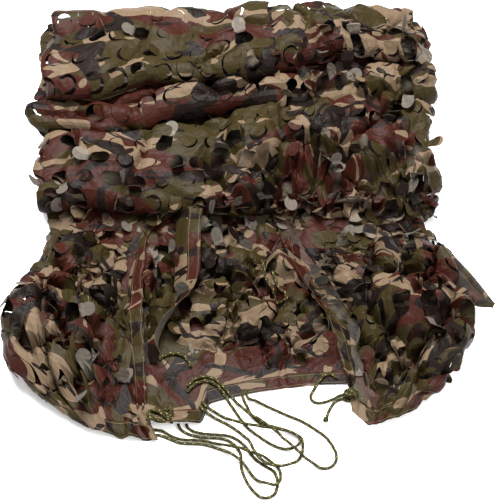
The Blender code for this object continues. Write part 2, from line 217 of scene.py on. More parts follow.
def through(stations, values, at):
    """A smooth curve through (station, value) pairs, read at the given places."""
    stations = np.asarray(stations, float)
    values = np.asarray(values, float)
    slopes = np.gradient(values, stations)
    at = np.clip(at, stations[0], stations[-1])
    i = np.clip(np.searchsorted(stations, at, side="right") - 1, 0, len(stations) - 2)
    width = stations[i + 1] - stations[i]
    t = (at - stations[i]) / width
    return ((2 * t**3 - 3 * t**2 + 1) * values[i] + (t**3 - 2 * t**2 + t) * width * slopes[i]
            + (3 * t**2 - 2 * t**3) * values[i + 1] + (t**3 - t**2) * width * slopes[i + 1])


def distances(x, y):
    """How far along a line each of its points is."""
    return np.concatenate([[0], np.cumsum(np.hypot(np.diff(x), np.diff(y)))])


def fold_line(fold, x):
    """Where a fold of the stack reaches toward the front, at a place across the net."""
    to_right = eased((x - STACK_LEFT) / STACK_WIDTH)
    line = FOLDS["left_y"][fold] * (1 - to_right) + FOLDS["right_y"][fold] * to_right
    return line + 0.004 * np.sin(21 * x + 2 * fold) + 0.0025 * np.sin(47 * x + fold)


def pass_ends(number, x):
    """The Y at which a pass starts and the Y at which it ends, in the direction of travel."""
    turn_reach = 1.5 * LAYER_PITCH * TURN_STRETCH
    x = np.asarray(x, float)
    if number == 0:
        return np.full_like(x, FRONT_Y), np.full_like(x, BACK_Y)
    if number % 2 == 1:
        return np.full_like(x, BACK_Y), fold_line((number - 1) // 2, x) + turn_reach
    back = TOP_HEM_Y if number == LAST_PASS else BACK_Y
    return fold_line(number // 2 - 1, x) + turn_reach, np.full_like(x, back)


def side_section(side, number, y):
    """One turned-in side: (distance along the cloth, x, height) from the middle's edge to the hem."""
    name = "left" if side < 0 else "right"
    if number == 0:
        edge = through(APRON["y"], APRON[name + "_edge"], y)
        hem = through(APRON["y"], APRON[name + "_hem"], y)
        height = through(APRON["y"], APRON[name + "_height"], y)
    else:
        edge, hem, height = PASSES[name + "_edge"][number - 1], PASSES[name + "_hem"][number - 1], LAYER_PITCH
    reach = max(SIDE_REACH, SIDE_REACH_SHARE * height)
    start = edge - side * reach
    angle = np.linspace(0, math.pi, 17)
    along = np.linspace(0, 1, 25)[1:]
    x = np.concatenate([start + side * reach * np.sin(angle), start + along * (hem - start)])
    fall = 1 - eased((along - 0.08) / 0.86)
    crest = (height - LAYER_PITCH) / LUMP_FULL * LUMP_WAVE * np.sin(math.pi * along)
    wave = crest * np.sin(2 * math.pi * y / LUMP_WAVELENGTH + side * 1.3 + 2.5 * along)
    turned_in = LAYER_PITCH + (height - LAYER_PITCH) * fall + wave
    if side < 0:
        turned_in = turned_in + 0.25 * LAYER_PITCH * eased((x[len(angle):] + 0.06) / 0.05)
    else:
        turned_in = turned_in - 0.30 * LAYER_PITCH * eased((0.10 - x[len(angle):]) / 0.04)
    h = np.concatenate([height * (1 - np.cos(angle)) / 2, turned_in])
    return distances(x, h), x, h


SECTION_STEPS = np.linspace(0, 1, 65)
SECTION_YS = np.linspace(FRONT_Y, BACK_Y, 96)


def section_tables():
    """For each pass and side, rows of x and height at even fractions of the side's cloth."""
    tables = {}
    for number in range(LAST_PASS + 1):
        for side in (-1, 1):
            rows = []
            for y in SECTION_YS if number == 0 else (0.0,):
                distance, x, h = side_section(side, number, y)
                at = SECTION_STEPS * distance[-1]
                rows.append((np.interp(at, distance, x), np.interp(at, distance, h)))
            tables[number, side] = np.array(rows).transpose(1, 0, 2)
    return tables


SECTIONS = section_tables()


def across(number, y_left, y_right, place):
    """(x, height over the middle) at places from -2 (left hem) through 0 to 2 (right hem)."""
    x = np.zeros_like(place)
    h = np.zeros_like(place)
    for side, y in ((-1, y_left), (1, y_right)):
        table = SECTIONS[number, side]
        row = np.clip((y - FRONT_Y) / (BACK_Y - FRONT_Y), 0, 1) * (table.shape[1] - 1)
        low = np.minimum(row.astype(int), table.shape[1] - 1)
        high = np.minimum(low + 1, table.shape[1] - 1)
        part = row - low
        step = np.clip(side * place - 1, 0, 1) * (len(SECTION_STEPS) - 1)
        left = np.minimum(step.astype(int), len(SECTION_STEPS) - 2)
        more = step - left
        read = []
        for values in table:
            near = values[low, left] * (1 - more) + values[low, left + 1] * more
            far = values[high, left] * (1 - more) + values[high, left + 1] * more
            read.append(near * (1 - part) + far * part)
        edge = table[0][low, 0] * (1 - part) + table[0][high, 0] * part
        here = side * place > 0
        x = np.where(here, np.where(side * place > 1, read[0], np.abs(place) * edge), x)
        h = np.where(side * place > 1, read[1], h)
    return x, h


def across_fold(fold, x, y):
    """How far a place lies from a fold's front, 0, toward where the next fold or the back begins, 1."""
    near = fold_line(fold, x)
    far = np.full_like(x, BACK_Y + 0.03) if fold == 2 else fold_line(fold + 1, x)
    return np.clip((y - near) / (far - near), 0, 1)


def puffed(number, x, y):
    """How far the upper side of a fold stands up where nothing lies on it."""
    if number < 2 or number % 2 == 1:
        return np.zeros_like(x)
    fold = number // 2 - 1
    near = fold_line(fold, x)
    far = BACK_Y + 0.02 if number == LAST_PASS else fold_line(fold + 1, x)
    t = np.clip((y - near) / (far - near), 0, 1)
    hump = 0.85 * np.sin(math.pi * np.minimum(t, 0.5) ** 0.8) * eased((1 - t) / FOLDS["foot"][fold])
    hump = hump + 0.45 * (1 - t) ** 3
    hump = hump * (1 + FOLDS["fuller_behind"][fold] * eased((t - 0.4) / 0.4))
    if fold == 0:  # at its right the lowest fold is a level step with a steep front
        level = (1.5 + 0.4 * t) * eased(t / 0.34) * eased((1 - t) / 0.07)
        hump = hump + (level - hump) * eased((x + 0.10) / 0.14)
    hump = hump * (1 - FOLDS["flatter_left"][fold] * eased((-x - 0.02) / 0.10))
    return FOLDS["puff"][fold] * hump * (1 + 0.35 * np.sin(19 * x + 3 * fold))


def unevenness(x, y, z):
    """A gentle, order-keeping lean and swell of the whole stack; the floor stays flat."""
    in_stack = eased((y + 0.01) / 0.06)
    swell = 1.03 + 0.07 * np.sin(8 * x + 1.5) + 0.05 * np.sin(13 * y - 6 * x)
    up = z - FLOOR_GAP
    lean_x = in_stack * (x / 0.28) * 0.005 * np.sin(50 * y + 95 * z)
    lean_y = in_stack * eased(up / 0.02) * 0.003 * np.sin(24 * x + 60 * z)
    return np.stack([x + lean_x, y + lean_y, FLOOR_GAP + up * (1 + in_stack * (swell - 1))], axis=-1)


def lay(number, travel, turn, place):
    """Points of the folded net on one pass (travel 0 to 1) and on the turn after it (angle 0 to pi)."""
    ends = [pass_ends(number, side * 0.2) for side in (-1, 1)]
    y_left, y_right = (start + travel * (end - start) for start, end in ends)
    x, h = across(number, y_left, y_right, place)
    if number < LAST_PASS:
        next_x, _ = across(number + 1, y_left, y_right, place)
        x = x + (next_x - x) * turn / math.pi
    start, end = pass_ends(number, x)
    y = start + travel * (end - start)
    if number == 0:
        offset = np.interp(place, FRONT_LINE["place"], FRONT_LINE["offset"])
        y = y + offset * (1 - eased((y - FRONT_Y) / 0.12))
        behind_hem = eased((y - FRONT_Y - offset) / 0.05)
        h = h * (1 - eased((np.abs(place) - 1.45) / 0.3) * (1 - behind_hem))
    layer = 2 * number * LAYER_PITCH + (h if number % 2 == 0 else LAYER_PITCH - h)
    middle = (2 * number + 1.5) * LAYER_PITCH
    radius = middle - layer
    y = y + (1 if number % 2 == 0 else -1) * TURN_STRETCH * radius * np.sin(turn)
    rise = puffed(number + 1, x, y) * (1 - np.cos(turn)) / 2
    rise = np.where(turn > 0, rise, puffed(number, x, y))
    return unevenness(x, y, FLOOR_GAP + middle - radius * np.cos(turn) + rise)


# The flat net, as it leaves the cutting die. Its length runs through each pass and each turn after it;
# its width is the middle and the two sides. Round leaves stand in staggered rows, and each is a tongue
# that hangs on by its narrow end.

SIDE_CLOTH = 0.295
HALF_WIDTH = HALF_BASE + SIDE_CLOTH
TURN_CLOTH = 0.030
HEM_WIDTH = 0.0195
CLOTH_THICKNESS = 0.0004
FINE_STEP = 0.0034
ROW_STEP = FINE_STEP * 0.866
LEAF_PITCH = 0.029
LEAF_LENGTH = 0.0235
LEAF_HALF_WIDTH = 0.0103
LEAF_SIZES = (0.84, 1.06)
LEAF_JITTER = 0.0018
LEAF_SKEW = 0.35
LEAF_FROM_HEM = 0.014
LEAF_FROM_END = 0.016
LEAF_REACH = 0.034
HINGE_HALF_WIDTH = 0.0068
LEAF_KERF = 0.045


def stretches():
    """(pass, whether it is the turn after it, where it starts and where it ends) along the flat net."""
    found = []
    at = 0.0
    for number in range(LAST_PASS + 1):
        start, end = pass_ends(number, 0.0)
        found.append((number, False, at, at + float(abs(end - start))))
        at = found[-1][3]
        if number < LAST_PASS:
            found.append((number, True, at, at + TURN_CLOTH))
            at = found[-1][3]
    return found


STRETCHES = stretches()
NET_LENGTH = STRETCHES[-1][3]


def spread(flat):
    """Where points of the flat net (across, along) lie: pass, travel, turn angle, place and drape point."""
    past = np.abs(flat[:, 0]) - HALF_BASE
    place = np.where(past > 0, np.sign(flat[:, 0]) * (1 + past / SIDE_CLOTH), flat[:, 0] / HALF_BASE)
    number = np.zeros(len(flat), int)
    travel = np.zeros(len(flat))
    turn = np.zeros(len(flat))
    point = np.zeros((len(flat), 3))
    for k, (this, turning, start, end) in enumerate(STRETCHES):
        low = flat[:, 1] >= start if k else np.full(len(flat), True)
        high = flat[:, 1] < end if k < len(STRETCHES) - 1 else np.full(len(flat), True)
        here = low & high
        if not here.any():
            continue
        part = np.clip((flat[here, 1] - start) / (end - start), 0, 1)
        number[here] = this
        travel[here] = 1.0 if turning else part
        turn[here] = part * math.pi if turning else 0.0
        point[here] = lay(this, travel[here], turn[here], place[here])
    return number, travel, turn, place, point


def hems_at(y):
    """The X of the first pass's left and right side hems at each Y."""
    return through(APRON["y"], APRON["left_hem"], y), through(APRON["y"], APRON["right_hem"], y)


def how_open(number, travel, turn, place, point):
    """2 where the cloth lies open to view, 1 at the edges and ends of the folds, 0 inside the stack."""
    x, y = point[:, 0], point[:, 1]
    side = np.abs(place) > 0.96
    edge = (np.abs(place) > 0.9) & (np.abs(place) < 1.16)
    left_hem, right_hem = hems_at(y)
    strip = (x > left_hem - 0.03) & (x < right_hem + 0.03) & (y < 0.02)
    seen = np.where(edge | (turn > 0), 1, 0)
    first = (number == 0) & (turn == 0)
    seen = np.where(first & ((side & (y < 0.03)) | (~side & strip)), 2, seen)
    for fold in range(3):
        limit = BACK_Y + 1 if fold == 2 else fold_line(fold + 1, x) + 0.02
        seen = np.where((number == 2 * fold + 2) & (turn == 0) & side & (y < limit), 2, seen)
    seen = np.where((number == LAST_PASS) & ~side & (y > BACK_Y - 0.02), 1, seen)
    return np.where((number % 2 == 1) & side & ((turn > 0) | (travel > 0.95)), 2, seen)


def leaf_outline():
    """The slit of one leaf from hinge to hinge, as (toward the tip, across) with the hinge on zero."""
    middle = LEAF_LENGTH - LEAF_HALF_WIDTH
    angles = np.radians(np.linspace(-118, 118, 12))
    round_end = LEAF_HALF_WIDTH * np.stack([np.cos(angles), np.sin(angles)], axis=1) + (middle, 0)
    neck = np.array([(0.0, HINGE_HALF_WIDTH), (0.0036, HINGE_HALF_WIDTH + 0.0016)])
    return np.concatenate([neck * (1, -1), round_end, neck[::-1]])


def place_leaves(start, end, seed):
    """(middle of the hinge, direction of the tip, size) for each leaf of one length of the flat net."""
    rng = np.random.default_rng(seed)
    leaves = []
    rows = int((end - start) / LEAF_PITCH)
    for row in range(rows + 1):
        for column in range(-20, 21):
            shift = LEAF_PITCH / 2 * (row % 2)
            jitter = rng.uniform(-LEAF_JITTER, LEAF_JITTER, 2)
            angle = rng.integers(0, 4) * math.pi / 2 + rng.uniform(-LEAF_SKEW, LEAF_SKEW)
            size = rng.uniform(*LEAF_SIZES)
            middle = np.array((column * LEAF_PITCH + shift, start + (row + 0.5) * LEAF_PITCH)) + jitter
            toward = np.array((math.cos(angle), math.sin(angle)))
            margin = HEM_WIDTH + LEAF_FROM_HEM if middle[1] < STRETCHES[0][3] else LEAF_FROM_END
            beside = HALF_WIDTH - abs(middle[0]) > margin
            within = start + LEAF_FROM_END < middle[1] < end - LEAF_FROM_END
            if beside and within and HEM_WIDTH + LEAF_FROM_HEM < middle[1] < NET_LENGTH - LEAF_FROM_END:
                leaves.append((middle - toward * (LEAF_LENGTH * size) / 2, toward, size))
    return leaves


def lattice_points(start, end):
    """Points of the flat cloth in even rows: finest where it shows, one in two or in four elsewhere."""
    rows = np.arange(start, end, ROW_STEP)
    half_count = int(HALF_WIDTH / FINE_STEP)
    i, j = np.meshgrid(np.arange(-half_count, half_count + 1), np.arange(len(rows)), indexing="ij")
    i, j = i.ravel(), j.ravel()
    points = np.stack([i * FINE_STEP + (j % 2) * FINE_STEP / 2, start + j * FINE_STEP * 0.866], axis=1)
    seen = how_open(*spread(points))
    keep = (seen == 2) | ((seen == 1) & (i % 2 == 0) & (j % 2 == 0)) | ((i % 4 == 0) & (j % 4 == 0))
    keep &= (np.abs(points[:, 0]) < HALF_WIDTH - 0.4 * FINE_STEP)
    keep &= (points[:, 1] > start + 0.4 * FINE_STEP) & (points[:, 1] < end - 0.4 * FINE_STEP)
    return points[keep]


def flat_mesh(start, end, seed):
    """One length of the flat net, triangulated and slit round each leaf: points, faces, slits, leaves."""
    lattice = lattice_points(start, end)
    leaves = place_leaves(start, end, seed)
    middles = np.array([root + toward * LEAF_LENGTH * size / 2 for root, toward, size in leaves])
    leaves = [leaf for leaf, shown in zip(leaves, how_open(*spread(middles)) > 0) if shown]
    outline = leaf_outline()
    hinge = np.array([(0.0, -0.0025), (0.0, 0.0025)])
    clear = np.full(len(lattice), True)
    slits = []
    for root, toward, size in leaves:
        aside = np.array((-toward[1], toward[0]))
        slit = root + size * (outline[:, :1] * toward + outline[:, 1:] * aside)
        fold = root + size * (hinge[:, :1] * toward + hinge[:, 1:] * aside)
        slits.append((slit, fold[::-1]))
        near = np.nonzero(np.abs(lattice - root).max(axis=1) < LEAF_REACH)[0]
        for ring in slits[-1]:
            apart = np.linalg.norm(lattice[near, None] - ring[None], axis=2).min(axis=1)
            clear[near[apart < 0.62 * FINE_STEP]] = False
    border = []
    for at in np.arange(-HALF_WIDTH, HALF_WIDTH + 1e-9, HALF_WIDTH / 160):
        border += [(at, start), (at, end)]
    for at in np.linspace(start, end, round((end - start) / 0.005))[1:-1]:
        border += [(-HALF_WIDTH, at), (HALF_WIDTH, at)]
    points = [np.array(border), lattice[clear]]
    edges = []
    count = sum(map(len, points))
    for slit, fold in slits:
        ring = np.concatenate([slit, fold])
        numbers = count + np.arange(len(ring))
        edges += list(zip(numbers.tolist(), np.roll(numbers, -1).tolist()))
        points.append(ring)
        count += len(ring)
    points = np.concatenate(points)
    found = geometry.delaunay_2d_cdt([Vector(p) for p in points.tolist()], edges, [], 0, 1e-7)
    flat = np.array([tuple(p) for p in found[0]])
    faces = np.array([face for face in found[2] if len(face) == 3])
    return flat, faces, slits, leaves


def inside_ring(points, ring):
    """Whether each point lies inside a closed outline."""
    following = np.roll(ring, -1, axis=0)
    x, y = points[:, :1], points[:, 1:]
    crosses = (ring[:, 1] > y) != (following[:, 1] > y)
    with np.errstate(divide="ignore", invalid="ignore"):
        at = ring[:, 0] + (y - ring[:, 1]) * (following[:, 0] - ring[:, 0]) / (following[:, 1] - ring[:, 1])
    return (crosses & (x < at)).sum(axis=1) % 2 == 1


def free_leaves(flat, faces, slits):
    """Parts the mesh along each slit: the leaf's faces get points of their own, except along the hinge."""
    middles = flat[faces].mean(axis=1)
    owner = np.full(len(flat), -1)
    order = np.argsort(middles[:, 1])
    sorted_y = middles[order, 1]
    copies = []
    copy_leaf = []
    for number, (slit, fold) in enumerate(slits):
        low, high = np.searchsorted(sorted_y, (slit[:, 1].min(), slit[:, 1].max()))
        near = order[low:high]
        near = near[(middles[near, 0] > slit[:, 0].min()) & (middles[near, 0] < slit[:, 0].max())]
        inside = near[inside_ring(middles[near], np.concatenate([slit, fold]))]
        used = np.unique(faces[inside])

        def away(line):
            return np.linalg.norm(flat[used, None] - line[None], axis=2).min(axis=1)

        on_slit = used[away(slit[1:-1]) < 1e-5]
        on_hinge = used[away(np.concatenate([slit[[0, -1]], fold])) < 1e-5]
        owner[np.setdiff1d(used, np.concatenate([on_slit, on_hinge]))] = number
        fresh = len(flat) + len(copies) + np.arange(len(on_slit))
        swap = dict(zip(on_slit.tolist(), fresh.tolist()))
        faces[inside] = [[swap.get(corner, corner) for corner in face] for face in faces[inside].tolist()]
        copies += flat[on_slit].tolist()
        copy_leaf += [number] * len(on_slit)
    flat = np.concatenate([flat, np.array(copies)])
    return flat, faces, np.concatenate([owner, np.array(copy_leaf, int)])


# Folds and creases. Light polyester cloth doesn't roll, it breaks into facets with sharp creases
# between them; where it is bunched up it also slides along itself, so that its folds overhang. The
# draw-cords gather it into fans at its two front corners.

# Size and share of the creases in bunched cloth, large to small, and the noise layer of each.
CREASES = ((0.050, 0.50, 2), (0.027, 0.36, 3), (0.014, 0.22, 4), (0.008, 0.10, 7))
# Size of the crumpled folds, small and large, how narrow the deep tucks between the large ones are, and
# how far a fold may lean.
FOLD_SIZES = (0.052, 0.082)
TUCK_WIDTH = 0.13
STEEPEST = 70
# How crumpled each fold is at its right, and at its left as a share of that, lowest first.
FOLD_CRUMPLE = ((1.0, 0.50), (0.75, 1.0), (0.6, 0.45))
# How far the cloth is free to crumple: on the folds, more between a fold's two edges, and from the
# least to the most on the lumps and in the strip between them.
LEAST_PLAY = 0.0008
FOLD_PLAY = 0.0050
LOOSE_PLAY = 0.0045
LUMP_PLAY = (0.0015, 0.0130)
STRIP_PLAY = (0.0038, 0.0090)
# How far the strip rises behind its front, and further at its right and at its left.
STRIP_RISE, RIGHT_RISE, LEFT_RISE = 0.007, 0.017, 0.010
FRONT_LIFT = 0.0035
FOLD_SAG = 0.0055
HEM_RELIEF = 0.0007
BESIDE_HEM_SINK = 0.009
BEHIND_FRONT_SINK = 0.007
FOLD_TUCK_DEPTHS = (0.030, 0.020)
LUMP_TUCK_DEPTH = 0.028
# Where the draw-cords lie on the net and press it flat: (x, y, reach) in the net's own frame.
CORD_RESTS = ((-0.097, -0.213, 0.030), (-0.070, -0.258, 0.034), (-0.035, -0.262, 0.040),
              (0.095, -0.252, 0.036))
# Where the front corners are gathered and tied, and how far the folds fan out from there.
GATHERS = ((0.124, -0.268, 0.075), (-0.116, -0.300, 0.080))
GATHER_HEIGHT = 0.0055
# The deepest tucks, each a line from (x, y) to (x, y) and half its width: those of the stack's folds
# first, then those of the lumps and of the strip between them.
FOLD_TUCKS = (
    (0.204, 0.082, 0.163, 0.020, 0.0135), (0.087, 0.056, 0.107, -0.010, 0.0145),
    (0.218, 0.087, 0.214, 0.020, 0.0080), (0.068, -0.002, 0.024, 0.030, 0.0080),
    (0.252, 0.060, 0.230, 0.000, 0.0090), (-0.003, 0.000, -0.040, 0.038, 0.0070),
    (0.136, 0.048, 0.128, -0.004, 0.0090), (0.186, 0.008, 0.200, -0.010, 0.0070),
    (0.050, 0.052, 0.066, 0.030, 0.0070), (0.066, 0.087, 0.106, 0.070, 0.0070),
    (0.150, 0.165, 0.199, 0.178, 0.0065), (0.067, 0.193, 0.110, 0.218, 0.0065),
    (-0.016, 0.165, 0.014, 0.185, 0.0065), (-0.072, 0.203, -0.038, 0.218, 0.0055),
    (0.112, 0.033, 0.185, 0.057, 0.0100), (0.196, 0.059, 0.254, 0.073, 0.0080),
    (0.049, 0.050, 0.095, 0.033, 0.0080), (0.211, 0.023, 0.245, 0.044, 0.0070),
    (0.127, 0.023, 0.191, 0.030, 0.0070), (-0.003, 0.064, 0.038, 0.050, 0.0070),
    (0.043, 0.036, 0.105, 0.022, 0.0085), (0.136, 0.046, 0.195, 0.029, 0.0085),
    (0.082, 0.071, 0.070, 0.005, 0.0065), (0.126, 0.068, 0.135, 0.009, 0.0070),
    (0.183, 0.067, 0.169, 0.009, 0.0065), (0.025, 0.071, 0.014, 0.016, 0.0065),
)
TUCKS = (
    (0.110, -0.017, 0.128, -0.065, 0.0145), (0.268, -0.184, 0.194, -0.106, 0.0125),
    (0.253, -0.180, 0.164, -0.260, 0.0100), (-0.045, 0.013, -0.004, -0.047, 0.0100),
    (-0.171, -0.215, -0.178, -0.281, 0.0080), (0.111, -0.116, 0.079, -0.133, 0.0105),
    (0.037, -0.003, 0.055, -0.047, 0.0085), (-0.184, -0.226, -0.246, -0.272, 0.0090),
    (-0.272, -0.135, -0.184, -0.143, 0.0075), (0.098, -0.047, 0.110, -0.097, 0.0075),
    (0.162, -0.050, 0.158, -0.088, 0.0085), (0.153, -0.282, 0.148, -0.304, 0.0075),
    (-0.054, 0.001, -0.079, -0.014, 0.0080), (-0.109, -0.175, -0.091, -0.208, 0.0075),
    (-0.074, -0.042, -0.076, -0.086, 0.0060), (-0.120, 0.007, -0.120, -0.031, 0.0070),
    (-0.106, -0.070, -0.099, -0.115, 0.0060), (0.040, -0.136, 0.017, -0.121, 0.0060),
    (-0.165, -0.146, -0.169, -0.204, 0.0070), (-0.060, -0.081, -0.048, -0.097, 0.0065),
    (0.064, -0.158, 0.047, -0.138, 0.0060), (-0.083, -0.146, -0.099, -0.163, 0.0050),
    (-0.247, -0.268, -0.171, -0.217, 0.0100), (-0.225, -0.250, -0.194, -0.189, 0.0075),
    (-0.239, -0.198, -0.263, -0.154, 0.0070), (-0.278, -0.218, -0.234, -0.204, 0.0065),
    (-0.191, -0.160, -0.171, -0.118, 0.0070), (-0.218, -0.130, -0.249, -0.102, 0.0065),
    (0.105, -0.033, 0.087, -0.075, 0.0110), (0.131, -0.042, 0.156, -0.074, 0.0085),
    (0.102, -0.089, 0.128, -0.147, 0.0080), (0.156, -0.160, 0.193, -0.204, 0.0085),
    (0.213, -0.154, 0.242, -0.198, 0.0080), (0.191, -0.209, 0.212, -0.253, 0.0075),
    (0.140, -0.195, 0.163, -0.227, 0.0075), (0.242, -0.093, 0.218, -0.133, 0.0075),
    (0.176, -0.106, 0.204, -0.081, 0.0080), (-0.063, -0.021, -0.040, -0.064, 0.0090),
    (-0.016, -0.008, 0.014, 0.002, 0.0090), (-0.034, -0.097, -0.010, -0.134, 0.0065),
    (0.055, 0.016, 0.065, -0.017, 0.0090), (-0.029, -0.129, -0.018, -0.193, 0.0065),
    (0.043, -0.190, 0.066, -0.217, 0.0065), (-0.046, -0.205, -0.037, -0.179, 0.0055),
    (0.013, -0.192, 0.020, -0.224, 0.0050), (-0.072, -0.178, -0.049, -0.154, 0.0060),
    (-0.135, -0.010, -0.124, -0.126, 0.0075), (-0.134, -0.134, -0.126, -0.227, 0.0060),
    (0.081, -0.124, 0.101, -0.155, 0.0065), (-0.003, -0.075, 0.008, -0.134, 0.0060),
)


def rolling(at, size, layer=0.0):
    """A soft wave of that size in metres, from -1 to 1."""
    return np.array([1.6 * noise.noise((p[0] / size, p[1] / size, layer)) for p in at.tolist()])


def creased(at, size, layer=0.0):
    """Flat facets of about that size with straight, sharp creases between them, from -1 to 1."""
    shift = np.stack([rolling(at, size * 1.9, layer + 5), rolling(at, size * 1.9, layer + 9)], axis=1)
    x, y = (at + 0.4 * size * shift).T
    turned = np.stack([0.84 * x + 0.54 * y, 0.84 * y - 0.54 * x], axis=1) / size
    cell = np.floor(turned)
    u, v = (turned - cell).T

    def corner(right, up):
        mixed = np.sin((cell[:, 0] + right) * 127.1 + (cell[:, 1] + up) * 311.7 + layer * 74.7) * 43758.5453
        return 2 * (mixed - np.floor(mixed)) - 1

    low_left, low_right, high_left, high_right = corner(0, 0), corner(1, 0), corner(0, 1), corner(1, 1)
    rising = np.where(u > v, low_left + u * (low_right - low_left) + v * (high_right - low_right),
                      low_left + v * (high_left - low_left) + u * (high_right - high_left))
    falling = np.where(u + v < 1, low_left + u * (low_right - low_left) + v * (high_left - low_left),
                       high_right + (1 - u) * (high_left - high_right) + (1 - v) * (low_right - high_right))
    return np.where((cell[:, 0] + cell[:, 1]) % 2 == 0, rising, falling)


def bunched(at, layer):
    """Crumpled folds with deep tucks between them: their height, that of their creases, and how they lean."""
    small, large = FOLD_SIZES

    def folds(p):
        return 0.35 - 0.7 * np.abs(rolling(p, small, layer + 1)) + 0.6 * np.abs(rolling(p, large, layer))

    step = 0.002
    level = folds(at)
    lean = np.stack([folds(at + (step, 0)) - level, folds(at + (0, step)) - level], axis=1) / step
    level = level - 1.5 * np.exp(-(rolling(at, large, layer) / TUCK_WIDTH) ** 2)
    sharp = sum(share * creased(at, size, layer + more) for size, share, more in CREASES)
    return level, sharp, np.clip(lean, -STEEPEST, STEEPEST)


def tucked(tucks, x, y):
    """How deep each place lies in the tucks, from 0 to 1, and how far their lips draw in over them."""
    deep = np.zeros_like(x)
    drawn = np.zeros((len(x), 2))
    for x0, y0, x1, y1, half in tucks:
        line = np.array((x1 - x0, y1 - y0))
        at = np.clip(((x - x0) * line[0] + (y - y0) * line[1]) / (line @ line), 0, 1)
        wander = 0.35 * half * np.sin(23 * at + 90 * x0)
        away = np.stack([x - x0 - at * line[0], y - y0 - at * line[1]], axis=1)
        away += wander[:, None] * np.array((-line[1], line[0])) / np.linalg.norm(line)
        apart = np.linalg.norm(away, axis=1) / half
        deep = np.maximum(deep, np.exp(-apart ** 2.6))
        drawn -= away / np.maximum(apart, 0.2)[:, None] * 0.45 * np.exp(-((apart - 1.25) / 0.5) ** 2)[:, None]
    return deep, drawn


def gathered(x, y):
    """Height of the folds that fan out from each tied corner."""
    height = np.zeros_like(x)
    for at_x, at_y, reach in GATHERS:
        apart = np.hypot(x - at_x, y - at_y) / reach
        angle = np.arctan2(y - at_y, x - at_x)
        fan = np.sin(13 * angle + 2.2 * np.sin(2.3 * angle) + 3 * apart)
        height += GATHER_HEIGHT * (np.abs(fan) - 0.6) * eased(apart / 0.2) * eased(1.2 - apart)
    return height


def clear_of_cords(x, y):
    """1 away from the cords, 0 under them."""
    clear = np.ones_like(x)
    for at_x, at_y, reach in CORD_RESTS:
        clear = np.minimum(clear, eased(np.hypot(x - at_x, y - at_y) / reach - 0.6))
    return clear


def hem_distance(flat):
    """How far each place of the flat net lies from the nearest hem's fold."""
    return np.minimum(HALF_WIDTH - np.abs(flat[:, 0]), np.minimum(flat[:, 1], NET_LENGTH - flat[:, 1]))


def between_hems(x, y):
    """1 in the strip that the side hems leave open, 0 under the sides."""
    left_hem, right_hem = hems_at(y)
    return eased((x - left_hem + 0.02) / 0.03) * eased((right_hem + 0.02 - x) / 0.03)


def play(number, travel, turn, side, point):
    """How far the cloth is free to crumple: most on the lumps and the folds, not at all inside the stack."""
    x, y, z = point.T
    first = (number == 0) & (turn == 0)
    least, more = LUMP_PLAY
    free = np.where(first & side, least + more * eased((z - 0.008) / 0.032), 0.0)
    least, more = STRIP_PLAY
    in_strip = between_hems(x, y) * clear_of_cords(x, y) * (least + more * eased((y + 0.235) / 0.06))
    free = np.where(first & ~side, in_strip, free)
    for fold, (at_right, at_left) in enumerate(FOLD_CRUMPLE):
        crumple = at_left + (1 - at_left) * eased((x + 0.07) / 0.09)
        t = across_fold(fold, x, y)
        here = (number == 2 * fold + 2) & (turn == 0) & side & (t < 1)
        loose = LOOSE_PLAY * np.sqrt(np.sin(math.pi * t))
        loose = loose + (LOOSE_PLAY * eased(x / 0.06) * eased(2 - 4 * t) if fold == 0 else 0.0)
        free = np.where(here, LEAST_PLAY + at_right * crumple * (FOLD_PLAY + loose), free)
        front = (number == 2 * fold + 1) & side & ((turn > 0) | (travel > 0.93))
        free = np.where(front, LEAST_PLAY + at_right * crumple * FOLD_PLAY, free)
    return free


def corner_crumple(at, clear):
    """The tightly crumpled cloth round the tied left corner."""
    x, y = at.T
    corner = eased((x + 0.165) / 0.02) * eased((-0.062 - x) / 0.02) * eased((-0.215 - y) / 0.02) * clear
    rough = creased(at, 0.026, 31.0) + 0.6 * creased(at, 0.012, 32.0)
    return corner * (0.0050 + 0.0062 * rough)


